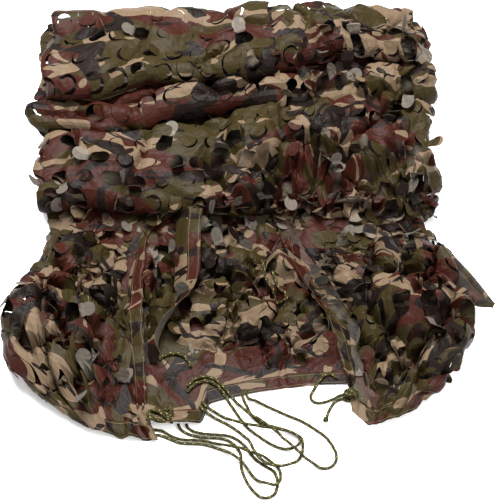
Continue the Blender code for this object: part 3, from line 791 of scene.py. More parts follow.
def lifted(number, turn, side, place, point, out):
    """How far the cloth stands over its drape, tucks and gathers included, and how far their lips draw in."""
    x, y, z = point.T
    still = turn == 0
    first = (number == 0) & still
    clear = clear_of_cords(x, y)
    before_stack = eased((-0.03 - y) / 0.05)
    risen = STRIP_RISE * eased((y + 0.235) / 0.05) * eased((-0.01 - y) / 0.05)
    risen += RIGHT_RISE * eased((y + 0.20) / 0.09) * before_stack * eased((x + 0.06) / 0.04)
    risen += LEFT_RISE * eased((y + 0.20) / 0.06) * before_stack * eased((-0.095 - x) / 0.02)
    raised = np.where(first, between_hems(x, y) * clear * risen, 0.0)
    deep, drawn = tucked(TUCKS, x, y)
    drawn[:, 0] *= np.where(side, -1, 1)
    drawn = np.where(first[:, None], drawn * clear[:, None], 0.0)
    tuck = np.where(side, deep * np.clip(0.8 * z, 0, LUMP_TUCK_DEPTH), deep * (out + raised))
    raised -= np.where(first, tuck, 0.0)
    raised += np.where(first & side, gathered(x, y) * eased((z - 0.002) / 0.006), 0.0)
    raised += np.where(first, corner_crumple(point[:, :2], clear), 0.0)
    # the front edge is lifted a little where the cords come out of it
    over_cords = eased((-0.283 - y) / 0.012) * eased((0.03 - np.abs(x + 0.09)) / 0.01)
    raised += np.where(first & ~side, FRONT_LIFT * over_cords, 0.0)
    for fold in range(3):
        t = across_fold(fold, x, y)
        sag = rolling(point[:, :2] * (0.45, 1.0), 0.04, 11.0 + fold)
        here = (number == 2 * fold + 2) & still & side & (t < 1)
        raised = np.where(here, np.sqrt(np.sin(math.pi * t)) * FOLD_SAG * (sag + 0.3), raised)
    deep, _ = tucked(FOLD_TUCKS, x, y)
    in_stack = (number > 0) & side & (still | (number % 2 == 1))
    round_turn = np.where(number % 2 == 1, (1 - np.cos(turn)) / 2, 1.0)
    raised -= np.where(in_stack, np.where(number < 3, *FOLD_TUCK_DEPTHS) * deep * round_turn, 0.0)
    # the side cloth never sinks through the middle of its own pass
    for top in (2, 4, LAST_PASS):
        here = (number == top) & still
        down = puffed(top, x, y)
        raised = np.where(here & side, np.maximum(raised, -down - 0.004 - out), raised)
        raised = np.where(here & ~side, -down * eased((0.97 - np.abs(place)) / 0.15), raised)
    return raised, drawn


def loosened(flat):
    """The creased cloth: each point's place after it slid along the net, and its height over the drape."""
    number, travel, turn, place, point = spread(flat)
    side = np.abs(place) > 0.97
    first = (number == 0) & (turn == 0)
    level, sharp, lean = bunched(flat, 2.0)
    free = play(number, travel, turn, side, point)
    out = free * (level + 0.25) + np.where(free > 0, 0.0024 + 0.85 * free, 0) * sharp
    # the doubled hem is thicker, and the cloth sinks in beside it
    out += np.where(number > 0, 0.0, HEM_RELIEF) * eased((HEM_WIDTH + 0.001 - hem_distance(flat)) / 0.002)
    beside_hem = np.exp(-((HALF_WIDTH - np.abs(flat[:, 0]) - 0.031) / 0.0075) ** 2)
    out -= np.where(first & side, BESIDE_HEM_SINK * beside_hem * eased((0.0 - point[:, 1]) / 0.05), 0.0)
    behind_front = np.exp(-((flat[:, 1] - 0.032) / 0.008) ** 2)
    out -= np.where(first & side, BEHIND_FRONT_SINK * behind_front, 0.0)
    slide = -0.00006 * np.clip(free / 0.006, 0, 1.5)[:, None] * lean
    # the sides' hems wander
    hem_wave = rolling(np.stack([flat[:, 1], np.sign(flat[:, 0])], axis=1), 0.045, 60.0)
    draw_in = (0.007 + 0.010 * hem_wave) * eased((np.abs(flat[:, 0]) - HALF_BASE - 0.12) / 0.17)
    slide[:, 0] -= np.sign(flat[:, 0]) * np.where(number > 0, draw_in, 0.4 * draw_in)
    raised, drawn = lifted(number, turn, side, place, point, out)
    return flat + slide + drawn, np.where(first & ~side, -out, out), raised


def point_normals(points, faces):
    """The cloth's direction at each point, the larger faces counting more."""
    corners = points[faces]
    normals = np.cross(corners[:, 1] - corners[:, 0], corners[:, 2] - corners[:, 0])
    total = np.zeros_like(points)
    for corner in range(3):
        np.add.at(total, faces[:, corner], normals)
    return total / np.maximum(np.linalg.norm(total, axis=1, keepdims=True), 1e-12)


STACK_BACK_Y = BACK_Y - 0.04
HELD_FLAT = 0.02
# A freed leaf curls up or down by as much as half this angle, and its sides cup and twist a little.
LEAF_CURL = math.radians(24)
LEAF_CUP = 9
LEAF_TWIST = 0.3
LEAST_POINTS = 6
# On a fold's edge only the cloth this near the hinge tells how the leaf lies.
EDGE_FIT = 0.011


def leaf_bend(where, number, turn, inner, kind, amount):
    """How far a leaf turns on its hinge: most lie nearly flat, some stand and a few are turned right over."""
    if number == 0 and abs(where[0] - 0.01) > 0.245:
        return math.radians(2 + 14 * amount)
    if where[1] > STACK_BACK_Y:
        if number == LAST_PASS:
            return math.radians(0.5 + 2 * amount)
        if turn == 0:
            return math.radians(2 + 5 * amount)
        return math.radians(5 + 12 * amount if kind < 0.65 else 20 + 30 * amount)
    under_next = number in (2, 4) and turn == 0 and float(fold_line(number // 2, where[0])) - where[1] < 0.02
    if under_next or (number % 2 == 1 and turn == 0) or (inner and clear_of_cords(*where[:2, None])[0] < 0.7):
        return HELD_FLAT
    loose = 0.95 if number == 0 else 0.22 + 0.78 * eased((where[0] + 0.12) / 0.16)
    if number in (3, 4):
        loose = max(loose, 0.62)
    if kind < 0.88 - 0.44 * loose:
        return math.radians(2 + 9 * amount)
    if kind < 0.94 - 0.22 * loose:
        return math.radians(15 + 45 * amount)
    if kind < 0.97 - 0.12 * loose:
        return math.radians(70 + 60 * amount)
    return math.radians(146 + 26 * amount)


def curl_leaves(points, flat, owner, leaves, seed):
    """Makes each leaf a flat disc with a slight cup, and turns it up about its hinge."""
    rng = np.random.default_rng(seed + 50)
    order = np.argsort(owner, kind="stable")
    bounds = np.searchsorted(owner[order], np.arange(len(leaves) + 1))
    for leaf, (root, toward, size) in enumerate(leaves):
        kind, amount, bend, cup, skew = rng.uniform(0, 1, 5)
        mine = order[bounds[leaf]:bounds[leaf + 1]]
        if len(mine) < LEAST_POINTS:
            continue
        number, _, turn, place, _ = (values[0] for values in spread(root[None]))
        inner = number == 0 and turn == 0 and abs(place) < 1
        on_edge = number > 0 and (0.94 < abs(place) < 1.10 or (number % 2 == 1 and turn > 0))
        local = flat[mine] - root
        u, v = local @ toward, local @ np.array((-toward[1], toward[0]))
        by = u < (EDGE_FIT if on_edge else 1.0)
        if by.sum() < LEAST_POINTS:
            by = u < 1.0
        fit, *_ = np.linalg.lstsq(np.stack([u, v, np.ones(len(u))], axis=1)[by], points[mine[by]], rcond=None)
        length = fit[0] / np.linalg.norm(fit[0])
        width = fit[1] - (fit[1] @ length) * length
        width /= np.linalg.norm(width)
        out = np.cross(width, length) * (-1 if inner else 1)
        angle = leaf_bend(fit[2], number, turn, inner, kind, amount)
        curve = (bend - 0.45) * LEAF_CURL / (LEAF_LENGTH * size)
        turned = angle + curve * u
        along = (np.sin(turned) - math.sin(angle)) / curve
        rise = (math.cos(angle) - np.cos(turned)) / curve
        rise = rise + (cup - 0.4) * LEAF_CUP * v**2 * np.clip(u / LEAF_LENGTH, 0, 1)
        rise = rise + (skew - 0.5) * LEAF_TWIST * v * u / LEAF_LENGTH
        stays_flat = 0.85 if on_edge else min(1.0, angle / 0.2)
        free = eased(u / 0.008)[:, None] * stays_flat
        disc = fit[2] + u[:, None] * length + v[:, None] * width
        points[mine] += free * (disc - points[mine]) + (along - u)[:, None] * length + rise[:, None] * out
        kerf = LEAF_KERF * (0.35 if number == LAST_PASS and fit[2][1] > STACK_BACK_Y else 1.0)
        shrunk = -kerf * np.clip(u / 0.006, 0, 1)[:, None]
        points[mine] += shrunk * (u[:, None] * length + v[:, None] * width)
    return points


PRINT_START = dict(apron=(-0.7665, -0.1784), folds=(-1.025, -0.5957))
APRON_PRINT_END = 0.86
# The print needs the distance to the hem's fold only this far in.
HEM_KNOWN = 0.05
# How pale the back of the cloth shows: the whole of it on a leaf, a fifth of it elsewhere.
PALE_ON_LEAF, PALE_ELSEWHERE = 1.0, 0.2


def two_sided_mesh(name, points, faces):
    """The cloth with both its sides and a rim along its cut edges."""
    normals = point_normals(points, faces)
    thick = CLOTH_THICKNESS / 2
    count = len(points)
    everything = np.concatenate([points - thick * normals, points + thick * normals]) + TO_FRAME
    edges = np.concatenate([faces[:, [0, 1]], faces[:, [1, 2]], faces[:, [2, 0]]])
    _, first, times = np.unique(np.sort(edges, axis=1), axis=0, return_index=True, return_counts=True)
    rim = edges[first[times == 1]]
    rims = np.stack([rim[:, 1], rim[:, 0], rim[:, 0] + count, rim[:, 1] + count], axis=1)
    triangles = np.concatenate([faces[:, ::-1], faces + count])
    mesh = bpy.data.meshes.new(name)
    mesh.vertices.add(2 * count)
    mesh.vertices.foreach_set("co", everything.ravel())
    mesh.loops.add(triangles.size + rims.size)
    mesh.loops.foreach_set("vertex_index", np.concatenate([triangles.ravel(), rims.ravel()]))
    mesh.polygons.add(len(triangles) + len(rims))
    starts = np.concatenate([3 * np.arange(len(triangles)), triangles.size + 4 * np.arange(len(rims))])
    mesh.polygons.foreach_set("loop_start", starts)
    mesh.polygons.foreach_set("use_smooth", np.full(len(triangles) + len(rims), False))
    mesh.update(calc_edges=True)
    mesh.validate()
    return mesh


def two_sided(name, points, faces, flat, print_outside=1.0, on_leaf=False):
    """A piece of the cloth, with what the print needs to know of each of its points."""
    mesh = two_sided_mesh(name, points, faces)
    hem = np.where(spread(flat)[0] > 0, HEM_KNOWN, hem_distance(flat))
    across_print = -flat[:, 0] + np.where(flat[:, 0] > HALF_BASE - 0.01, HALF_WIDTH, -HALF_WIDTH)
    start = np.where(flat[:, 1:] < APRON_PRINT_END, PRINT_START["apron"], PRINT_START["folds"])
    hem = np.clip(hem, 0, HEM_KNOWN)
    cloth = np.stack([across_print + start[:, 0], flat[:, 1] + start[:, 1], hem], axis=1)
    placed = mesh.attributes.new("cloth", "FLOAT_VECTOR", "POINT")
    placed.data.foreach_set("vector", np.concatenate([cloth, cloth]).ravel())
    outside = np.broadcast_to(print_outside, len(points))
    worn = np.where(np.broadcast_to(on_leaf, len(points)), PALE_ON_LEAF, PALE_ELSEWHERE)
    pale = mesh.attributes.new("pale", "FLOAT", "POINT")
    pale.data.foreach_set("value", np.concatenate([(1 - outside) * worn, outside * worn]))
    obj = bpy.data.objects.new(name, mesh)
    bpy.context.collection.objects.link(obj)
    return obj


# The highest folds (axis 2) and the outermost leaves (axis 0) are softly pressed in to this reach.
PRESSED_TO = ((2, 0.1395), (0, 0.324))
PRESS_DEPTH = 0.005
LOWEST_CLOTH = 0.0011


def make_net_length(name, start, end, seed):
    """One length of the net, from its flat mesh to the laid and creased cloth."""
    flat, faces, slits, leaves = flat_mesh(start, end, seed)
    slid, out, raised = loosened(flat)
    number, _, turn, place, point = spread(slid)
    point = point - out[:, None] * point_normals(point, faces)
    point[:, 2] += raised
    split_flat, faces, owner = free_leaves(flat, faces, slits)
    numbered = {tuple(p): k for k, p in enumerate(flat.tolist())}
    source = np.array([numbered[tuple(p)] for p in split_flat.tolist()])
    point = curl_leaves(point[source], split_flat, owner, leaves, seed)
    for axis, reach in PRESSED_TO:
        over = np.abs(point[:, axis]) - reach
        pressed = np.sign(point[:, axis]) * (reach + PRESS_DEPTH * np.tanh(over / PRESS_DEPTH))
        point[:, axis] = np.where(over > 0, pressed, point[:, axis])
    point[:, 2] = np.maximum(point[:, 2], LOWEST_CLOTH)
    print_outside = np.where((number == 0) & (turn == 0) & (np.abs(place) < 1), 0.0, 1.0)[source]
    return two_sided(name, point, faces, split_flat, print_outside, owner >= 0)


# Polyester taffeta, printed in a woodland pattern of olive, brown, sand and dark patches, and paler on
# its back. It has a dull sheen, lets a little light through, and shows fine creases all over.

OLIVE = "#2B2310"
BROWN = "#2F140D"
SAND = "#60503F"
DARK = "#150E0B"
PALE_BACK = "#6C675F"
STITCH = "#544B38"
# The patches are drawn out to twice their length across the net, and a turned hem shows another part
# of the print.
PRINT_STRETCH = (0.50, 1.0, 1.0)
HEM_PRINT_SHIFT = (0.37, 0.21, 0.0)
PALE_SHARE = 0.55
LIGHT_LET_THROUGH = 0.14
STITCH_HALF_WIDTH = 0.0003
STITCH_ROWS = (0.003, HEM_WIDTH - 0.0025)


def figured(material, operation, *values):
    """What a sum of values or sockets gives."""
    return add(material, "Math", dict(enumerate(values)), operation=operation).outputs["Value"]


def moved(material, operation, at, by):
    """A place that is shifted or stretched."""
    return add(material, "VectorMath", {0: at, 1: by}, operation=operation).outputs["Vector"]


def mixed(material, share, first, second):
    """One colour over another, in that share."""
    return add(material, "Mix", {0: share, 6: first, 7: second}, data_type="RGBA").outputs[2]


def patches(material, at, scale, cut, seed, winding=False):
    """1 inside one colour's patches: rounded blobs above a cut, or winding branches about the middle."""
    place = moved(material, "ADD", at, (seed, seed * 0.7, 0.0))
    field = add(material, "TexNoise", {"Vector": place}, noise_dimensions="2D", Scale=scale, Detail=1.6,
                Roughness=0.40, Distortion=0.9).outputs["Fac"]
    if winding:
        field = figured(material, "ABSOLUTE", figured(material, "SUBTRACT", field, 0.5))
    return figured(material, "LESS_THAN" if winding else "GREATER_THAN", field, cut)


def woodland_print(material, flat):
    """Olive ground, brown and sand patches over it, and dark branches with a few blobs on top."""
    at = moved(material, "MULTIPLY", flat, PRINT_STRETCH)
    brown = patches(material, at, 14.0, 0.488, 3.1)
    sand = figured(material, "MAXIMUM", patches(material, at, 17.0, 0.622, 7.7),
                   patches(material, at, 26.0, 0.645, 41.3))
    branches = figured(material, "MULTIPLY", patches(material, at, 15.0, 0.026, 12.4, winding=True),
                       patches(material, at, 12.0, 0.50, 27.9))
    dark = figured(material, "MAXIMUM", branches, patches(material, at, 26.0, 0.62, 33.0))
    color = linear(OLIVE)
    for inside, code in ((brown, BROWN), (sand, SAND), (dark, DARK)):
        color = mixed(material, inside, color, linear(code))
    return color


def printed_taffeta():
    """Thin printed taffeta: sharp-edged patches, a faded back, stitched hems, crinkles and a dull sheen."""
    material = new_material("printed_polyester_taffeta")
    cloth = add(material, "Attribute", attribute_name="cloth").outputs["Vector"]
    pale = add(material, "Attribute", attribute_name="pale").outputs["Fac"]
    across_net, along_net, from_hem = add(material, "SeparateXYZ", {"Vector": cloth}).outputs
    flat = add(material, "CombineXYZ", {"X": across_net, "Y": along_net}).outputs["Vector"]
    in_hem = figured(material, "LESS_THAN", from_hem, HEM_WIDTH)
    flat = moved(material, "ADD", flat, moved(material, "MULTIPLY", in_hem, HEM_PRINT_SHIFT))
    color = woodland_print(material, flat)
    color = mixed(material, figured(material, "MULTIPLY", pale, PALE_SHARE), color, linear(PALE_BACK))
    rows = [figured(material, "COMPARE", from_hem, away, STITCH_HALF_WIDTH) for away in STITCH_ROWS]
    color = mixed(material, figured(material, "MAXIMUM", *rows), color, linear(STITCH))
    grain = add(material, "TexNoise", {"Vector": flat}, noise_dimensions="2D", Scale=240.0, Detail=3.0)
    crinkle = add(material, "TexVoronoi", {"Vector": flat}, voronoi_dimensions="2D",
                  feature="DISTANCE_TO_EDGE", Scale=105.0)
    vary = add(material, "MapRange", {0: grain.outputs["Fac"]}, To_Min=0.84, To_Max=1.16)
    tone = add(material, "HueSaturation", {"Color": color, "Value": vary.outputs["Result"]})
    fine = add(material, "Bump", {"Height": grain.outputs["Fac"]}, Strength=0.4, Distance=0.0006)
    creases = add(material, "Bump", {"Height": crinkle.outputs["Distance"], "Normal": fine.outputs["Normal"]},
                  Strength=0.45, Distance=0.0018)
    normal = creases.outputs["Normal"]
    weave = add(material, "BsdfPrincipled", {"Base Color": tone.outputs["Color"], "Normal": normal},
                Roughness=0.5, Specular_IOR_Level=0.09)
    glow = add(material, "BsdfTranslucent", {"Color": tone.outputs["Color"], "Normal": normal})
    both = add(material, "MixShader", {1: weave.outputs["BSDF"], 2: glow.outputs["BSDF"]},
               Fac=LIGHT_LET_THROUGH)
    add(material, "OutputMaterial", {"Surface": both.outputs["Shader"]})
    return material


# The net is drawn in four lengths. The first starts at the front hem, the last ends at the back one, and
# the others start and end in the middle of a stretch: (name, first stretch, last stretch).
NET_LENGTHS = (("net_apron", 0, 2), ("net_lower_fold", 2, 6), ("net_middle_fold", 6, 10),
               ("net_top_fold", 10, 12))
taffeta = printed_taffeta()


def as_net(piece):
    """Makes a piece the net's cloth and hangs it on the root, in place of the plain cloth."""
    piece.data.materials.append(taffeta)
    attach(piece, "root")
    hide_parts("net_cloth")


for seed, (name, first, last) in enumerate(NET_LENGTHS):
    start = 0.0 if first == 0 else sum(STRETCHES[first][2:]) / 2
    end = NET_LENGTH if last == 12 else sum(STRETCHES[last][2:]) / 2
    length = make_net_length(name, start, end, seed)
    as_net(length)


# More of the net lies folded inside the lumps and below the open middle. It shows only through the
# holes of the leaves over it.

UNDER_LAYER = dict(x=(-0.150, 0.135), back_y=0.030, behind_hem=0.012, step=0.006, height=0.00055)
# The inside of a lump follows this part of a turned-in side and of the first pass, in a grid of points,
# this far below the outer cloth and this far in from its side, and is this rough.
INSIDE_LUMP = dict(place=(1.04, 1.96), travel=(0.035, 0.50), grid=(46, 52), below=0.013, within=0.012,
                   rough=0.004)
INNER_FLOOR = 0.0016
# Which part of the print these layers show, and how much of it runs along a lump.
INNER_PRINT = 0.9
LUMP_CLOTH = 0.57


def front_at(line, x):
    """Where the middle of the net starts at the front, at places across it."""
    place = np.linspace(-1, 1, 41)
    column, _ = across(0, np.full(41, FRONT_Y), np.full(41, FRONT_Y), place)
    return FRONT_Y + np.interp(x, column, np.interp(place, line["place"], line["offset"]))


def grid_faces(rows, columns):
    """Triangles between points in rows and columns."""
    cell = np.arange(rows * columns).reshape(rows, columns)
    a, b, c, d = (part.ravel() for part in (cell[:-1, :-1], cell[1:, :-1], cell[1:, 1:], cell[:-1, 1:]))
    return np.concatenate([np.stack([a, c, b], axis=1), np.stack([a, d, c], axis=1)])


def under_layer():
    """A flat layer of the net right behind its front edge, a hair over the floor."""
    step, back_y = UNDER_LAYER["step"], UNDER_LAYER["back_y"]
    xs = np.arange(*UNDER_LAYER["x"], step)
    front = front_at(FRONT_LINE, xs) + UNDER_LAYER["behind_hem"]
    part = np.linspace(0, 1, round((back_y - FRONT_Y) / step))
    x = np.repeat(xs, len(part))
    y = (front[:, None] + part * (back_y - front[:, None])).ravel()
    wave = 0.00012 * rolling(np.stack([x, y], axis=1), 0.02, 70.0)
    points = np.stack([x, y, UNDER_LAYER["height"] + wave], axis=1)
    flat = np.stack([x * INNER_PRINT, y + INNER_PRINT], axis=1)
    return two_sided("net_under_layer", points, grid_faces(len(xs), len(part)), flat)


def inside_lump(name, side):
    """The net that fills a lump, a little under its outer cloth."""
    place = np.linspace(*INSIDE_LUMP["place"], INSIDE_LUMP["grid"][0]) * side
    travel = np.linspace(*INSIDE_LUMP["travel"], INSIDE_LUMP["grid"][1])
    place, travel = (values.ravel() for values in np.meshgrid(place, travel, indexing="ij"))
    points = lay(0, travel, np.zeros_like(travel), place)
    deep, _ = tucked(TUCKS, points[:, 0], points[:, 1])
    points[:, 2] -= deep * np.clip(0.8 * points[:, 2], 0, LUMP_TUCK_DEPTH)
    inward = np.clip((points[:, 2] - 0.004) / 0.03, 0, 1)
    points[:, 0] -= side * INSIDE_LUMP["within"] * inward * eased((np.abs(points[:, 0]) - 0.2) / 0.08)
    crumpled = creased(points[:, :2], 0.030, 44.0) + 0.5 * creased(points[:, :2], 0.014, 45.0)
    below = inward * (INSIDE_LUMP["below"] + INSIDE_LUMP["rough"] * crumpled)
    points[:, 2] = np.maximum(points[:, 2] - below, INNER_FLOOR)
    across_net = side * (HALF_BASE + SIDE_CLOTH * (np.abs(place) - 1)) * INNER_PRINT
    flat = np.stack([across_net, INNER_PRINT + travel * LUMP_CLOTH], axis=1)
    return two_sided(name, points, grid_faces(*INSIDE_LUMP["grid"]), flat)


as_net(under_layer())
as_net(inside_lump("net_inside_left", -1))
as_net(inside_lump("net_inside_right", 1))


# A second hemmed edge of the net, drawn up over the open middle: a double-stitched hem with a little of
# its cloth, which runs from under the lowest fold toward the front and twists over on the way.

DRAWN_HEM = dict(
    x=(-0.0830, -0.0850, -0.0862, -0.0860, -0.0850, -0.0900, -0.1000, -0.1130, -0.1190, -0.1180),
    y=(0.0300, 0.0000, -0.0300, -0.0600, -0.0950, -0.1250, -0.1500, -0.1760, -0.2000, -0.2200),
    height=(0.0330, 0.0330, 0.0310, 0.0285, 0.0245, 0.0220, 0.0200, 0.0175, 0.0140, 0.0100),
    tilt=(10, 12, 18, 22, 30, 48, 75, 95, 100, 80),
)
DRAWN_CLOTH = 0.022
DRAWN_STEP = 0.003
DRAWN_ROWS = 15


def drawn_hem():
    """The hem stands tilted along its route, and its cloth falls away behind it."""
    stations = distances(DRAWN_HEM["x"], DRAWN_HEM["y"])
    along = np.arange(0, stations[-1], DRAWN_STEP)
    x, y, height, tilt = (through(stations, DRAWN_HEM[name], along) for name in ("x", "y", "height", "tilt"))
    tilt = np.radians(tilt)[:, None]
    heading = np.stack([np.gradient(x), np.gradient(y)], axis=1)
    heading /= np.linalg.norm(heading, axis=1, keepdims=True)
    s, a = np.meshgrid(np.linspace(-DRAWN_CLOTH, HEM_WIDTH, DRAWN_ROWS), along)
    behind = np.minimum(s, 0)
    out = np.where(s < 0, 0.75 * behind, s * np.cos(tilt))
    up = np.where(s < 0, -0.55 * np.abs(behind) - 10 * behind**2, s * np.sin(tilt))
    places = np.stack([a.ravel(), s.ravel()], axis=1)
    relief = 0.0016 * creased(places, 0.030, 81.0) + 0.0008 * creased(places, 0.012, 82.0)
    up = up + relief.reshape(up.shape)
    points = np.stack([x[:, None] - out * heading[:, 1:], y[:, None] + out * heading[:, :1],
                       np.maximum(height[:, None] + up, 0.0015)], axis=2)
    flat = np.stack([HALF_WIDTH - (HEM_WIDTH - s.ravel()), 0.06 + a.ravel()], axis=1)
    return two_sided("net_drawn_hem", points.reshape(-1, 3), grid_faces(*s.shape), flat, on_leaf=True)


as_net(drawn_hem())


# The right lump's side hem is caught under its own folds, and a corner of it sticks out sideways in a
# stiff point: two layers of cloth with a turned edge.

OUTER_EDGE = ((0.2485, -0.0740, 0.0600), (0.2640, -0.0900, 0.0590), (0.2790, -0.1040, 0.0540),
              (0.2915, -0.1175, 0.0470), (0.3020, -0.1310, 0.0400), (0.3115, -0.1480, 0.0330))
INNER_EDGE = ((0.2380, -0.0860, 0.0540), (0.2460, -0.1100, 0.0500), (0.2560, -0.1280, 0.0430),
              (0.2690, -0.1420, 0.0380), (0.2850, -0.1530, 0.0350), (0.3080, -0.1545, 0.0325))
POINT_GRID = (40, 14)
POINT_LENGTH = 0.110
POINT_WIDTH = 0.034


def side_point():
    """Cloth stretched between the point's two edges, creased along it and drawn down near its outer edge."""
    rows, columns = POINT_GRID
    along, part = np.linspace(0, 1, rows), np.linspace(0, 1, columns)
    stations = np.linspace(0, 1, len(OUTER_EDGE))
    near, far = (np.stack([through(stations, values, along) for values in zip(*edge)], axis=1)
                 for edge in (OUTER_EDGE, INNER_EDGE))
    points = near[:, None] + part[None, :, None] * (far - near)[:, None]
    lengthwise, crosswise = np.repeat(along, columns), np.tile(part, rows)
    places = np.stack([POINT_LENGTH * lengthwise, 0.03 * crosswise], axis=1)
    relief = 0.0045 * creased(places, 0.034, 91.0) + 0.0016 * creased(places, 0.013, 92.0)
    relief += 0.0050 * (np.abs(np.sin(4.2 * crosswise + 1.5)) - 0.5)
    arched = np.sin(math.pi * part)
    points[..., 2] += relief.reshape(POINT_GRID) * arched + 0.004 * arched
    points[..., 2] -= 0.010 * (1 - part / 0.3).clip(0, 1) ** 1.5 * np.sin(math.pi * along)[:, None] ** 0.5
    flat = np.stack([HALF_WIDTH - 0.001 - crosswise * POINT_WIDTH, 0.35 + POINT_LENGTH * lengthwise], axis=1)
    return two_sided("net_side_point", points.reshape(-1, 3), grid_faces(rows, columns), flat)


as_net(side_point())


# ---------------------------------------------------------------------------------------------
# The draw-cords: a braided cord, drawn 4 mm thick, that runs in the front hem and comes out of it in
# loops, which lie loose on the cloth and the table. One short tail ends in a knot.

CORD_RADIUS = 0.0020
CORD_GAP = 0.0004
SHEET_UNDER_CORDS = 0.002
# Where a cord crosses something it rises in a hump: how long it is level there, and how far it falls.
HUMP_FLAT = 0.005
HUMP_REACH = 0.024
PLAITS_ROUND = 5
PLAIT_LENGTH = 0.0034
# How thick the cord is between two plaits and how much thicker on them, as parts of its radius.
BRAID_LOW, BRAID_RISE = 0.86, 0.13
RING_STEP = 0.00065
RING_POINTS = 20
ROUTE_STEP = 0.001
NET_UNDER_CORDS = dict(place=(-1.0, -0.62, -0.48, -0.34, -0.22, 0.0, 0.4, 1.0),
                       offset=(0.040, 0.024, 0.000, -0.034, -0.004, 0.004, 0.021, 0.028))
# The routes of the cords, seen from above.
CORD_ROUTES = dict(
    cord_lower_loop=(
        (-0.0742, -0.3002), (-0.0722, -0.3052), (-0.0672, -0.3092), (-0.0592, -0.3122), (-0.0472, -0.3142),
        (-0.0322, -0.3152), (-0.0202, -0.3172), (-0.0082, -0.3242), (0.0018, -0.3352), (0.0098, -0.3472),
        (0.0228, -0.3572), (0.0328, -0.3642), (0.0368, -0.3742), (0.0368, -0.3842), (0.0328, -0.3942),
        (0.0248, -0.3982), (0.0168, -0.3972), (0.0098, -0.3912), (0.0018, -0.3802), (-0.0032, -0.3692),
        (-0.0062, -0.3592), (-0.0072, -0.3412), (-0.0132, -0.3302), (-0.0222, -0.3232), (-0.0322, -0.3202),
        (-0.0472, -0.3192), (-0.0612, -0.3172), (-0.0732, -0.3132), (-0.0812, -0.3072), (-0.0842, -0.3002),
    ),
    cord_left_loop=(
        (-0.1152, -0.3082), (-0.1032, -0.3102), (-0.0932, -0.3162), (-0.0802, -0.3212), (-0.0672, -0.3222),
        (-0.0532, -0.3232), (-0.0412, -0.3262), (-0.0282, -0.3302), (-0.0162, -0.3332), (-0.0062, -0.3352),
        (0.0038, -0.3402), (0.0168, -0.3442), (0.0288, -0.3512), (0.0378, -0.3602), (0.0408, -0.3692),
        (0.0398, -0.3782), (0.0348, -0.3832), (0.0248, -0.3812), (0.0148, -0.3772), (0.0068, -0.3702),
        (-0.0002, -0.3602), (-0.0052, -0.3532), (-0.0132, -0.3462), (-0.0252, -0.3382), (-0.0392, -0.3322),
        (-0.0532, -0.3282), (-0.0672, -0.3272), (-0.0812, -0.3262), (-0.0932, -0.3212), (-0.1052, -0.3162),
        (-0.1152, -0.3152),
    ),
    cord_hem_loop=(
        (-0.0052, -0.2582), (-0.0042, -0.2662), (-0.0002, -0.2752), (0.0058, -0.2872), (0.0158, -0.2982),
        (0.0338, -0.3042), (0.0498, -0.3092), (0.0598, -0.3142), (0.0668, -0.3192), (0.0688, -0.3272),
        (0.0678, -0.3382), (0.0628, -0.3492), (0.0548, -0.3562), (0.0458, -0.3602), (0.0358, -0.3602),
        (0.0248, -0.3572), (0.0168, -0.3512), (0.0098, -0.3412), (0.0018, -0.3242), (-0.0062, -0.3142),
        (-0.0172, -0.3052), (-0.0302, -0.2972), (-0.0412, -0.2912), (-0.0512, -0.2842), (-0.0582, -0.2772),
    ),
    cord_arch_loop=(
        (-0.0742, -0.2562), (-0.0622, -0.2442), (-0.0512, -0.2412), (-0.0402, -0.2452), (-0.0302, -0.2562),
        (-0.0232, -0.2692), (-0.0142, -0.2832), (-0.0062, -0.2952), (0.0018, -0.3062), (0.0138, -0.3162),
        (0.0258, -0.3252), (0.0388, -0.3322), (0.0498, -0.3352), (0.0578, -0.3342), (0.0638, -0.3292),
        (0.0648, -0.3222), (0.0608, -0.3172), (0.0538, -0.3132), (0.0398, -0.3092), (0.0278, -0.3072),
        (0.0168, -0.3052), (0.0038, -0.3032), (-0.0082, -0.3002), (-0.0212, -0.2952), (-0.0332, -0.2882),
        (-0.0472, -0.2792), (-0.0562, -0.2712),
    ),
    cord_outer_loop=(
        (-0.0004, -0.2562), (0.0018, -0.2652), (0.0118, -0.2692), (0.0298, -0.2782), (0.0498, -0.2882),
        (0.0688, -0.2972), (0.0848, -0.3082), (0.0968, -0.3182), (0.1048, -0.3302), (0.1088, -0.3412),
        (0.1078, -0.3512), (0.1018, -0.3582), (0.0918, -0.3602), (0.0798, -0.3542), (0.0668, -0.3452),
        (0.0568, -0.3352), (0.0448, -0.3232), (0.0348, -0.3132), (0.0248, -0.3052), (0.0148, -0.2972),
        (0.0028, -0.2882), (-0.0072, -0.2782), (-0.0152, -0.2682), (-0.0222, -0.2582), (-0.0312, -0.2472),
        (-0.0412, -0.2382), (-0.0522, -0.2352), (-0.0642, -0.2382), (-0.0742, -0.2492),
    ),
    cord_top_arch=(
        (-0.1112, -0.2102), (-0.1022, -0.2032), (-0.0922, -0.2012), (-0.0812, -0.2042), (-0.0742, -0.2122),
        (-0.0702, -0.2212),
    ),
    cord_corner_tie=(
        (0.1138, -0.2372), (0.1088, -0.2332), (0.1028, -0.2312), (0.0968, -0.2342), (0.0908, -0.2422),
        (0.0838, -0.2542), (0.0798, -0.2632), (0.0828, -0.2692), (0.0898, -0.2712), (0.0998, -0.2692),
        (0.1088, -0.2652), (0.1178, -0.2602), (0.1258, -0.2582),
    ),
    cord_corner_tail=(
        (0.1258, -0.2652), (0.1168, -0.2662), (0.1098, -0.2702), (0.1048, -0.2772), (0.1008, -0.2852),
        (0.0988, -0.2922),
    ),
)


def cloth_under(x, y):
    """The height of what a cord lies on: the net's middle behind its front line, else the table."""
    front = front_at(NET_UNDER_CORDS, x - TO_FRAME[0]) + TO_FRAME[1]
    return np.where(y > front - 0.002, SHEET_UNDER_CORDS + CORD_GAP, 0.0)


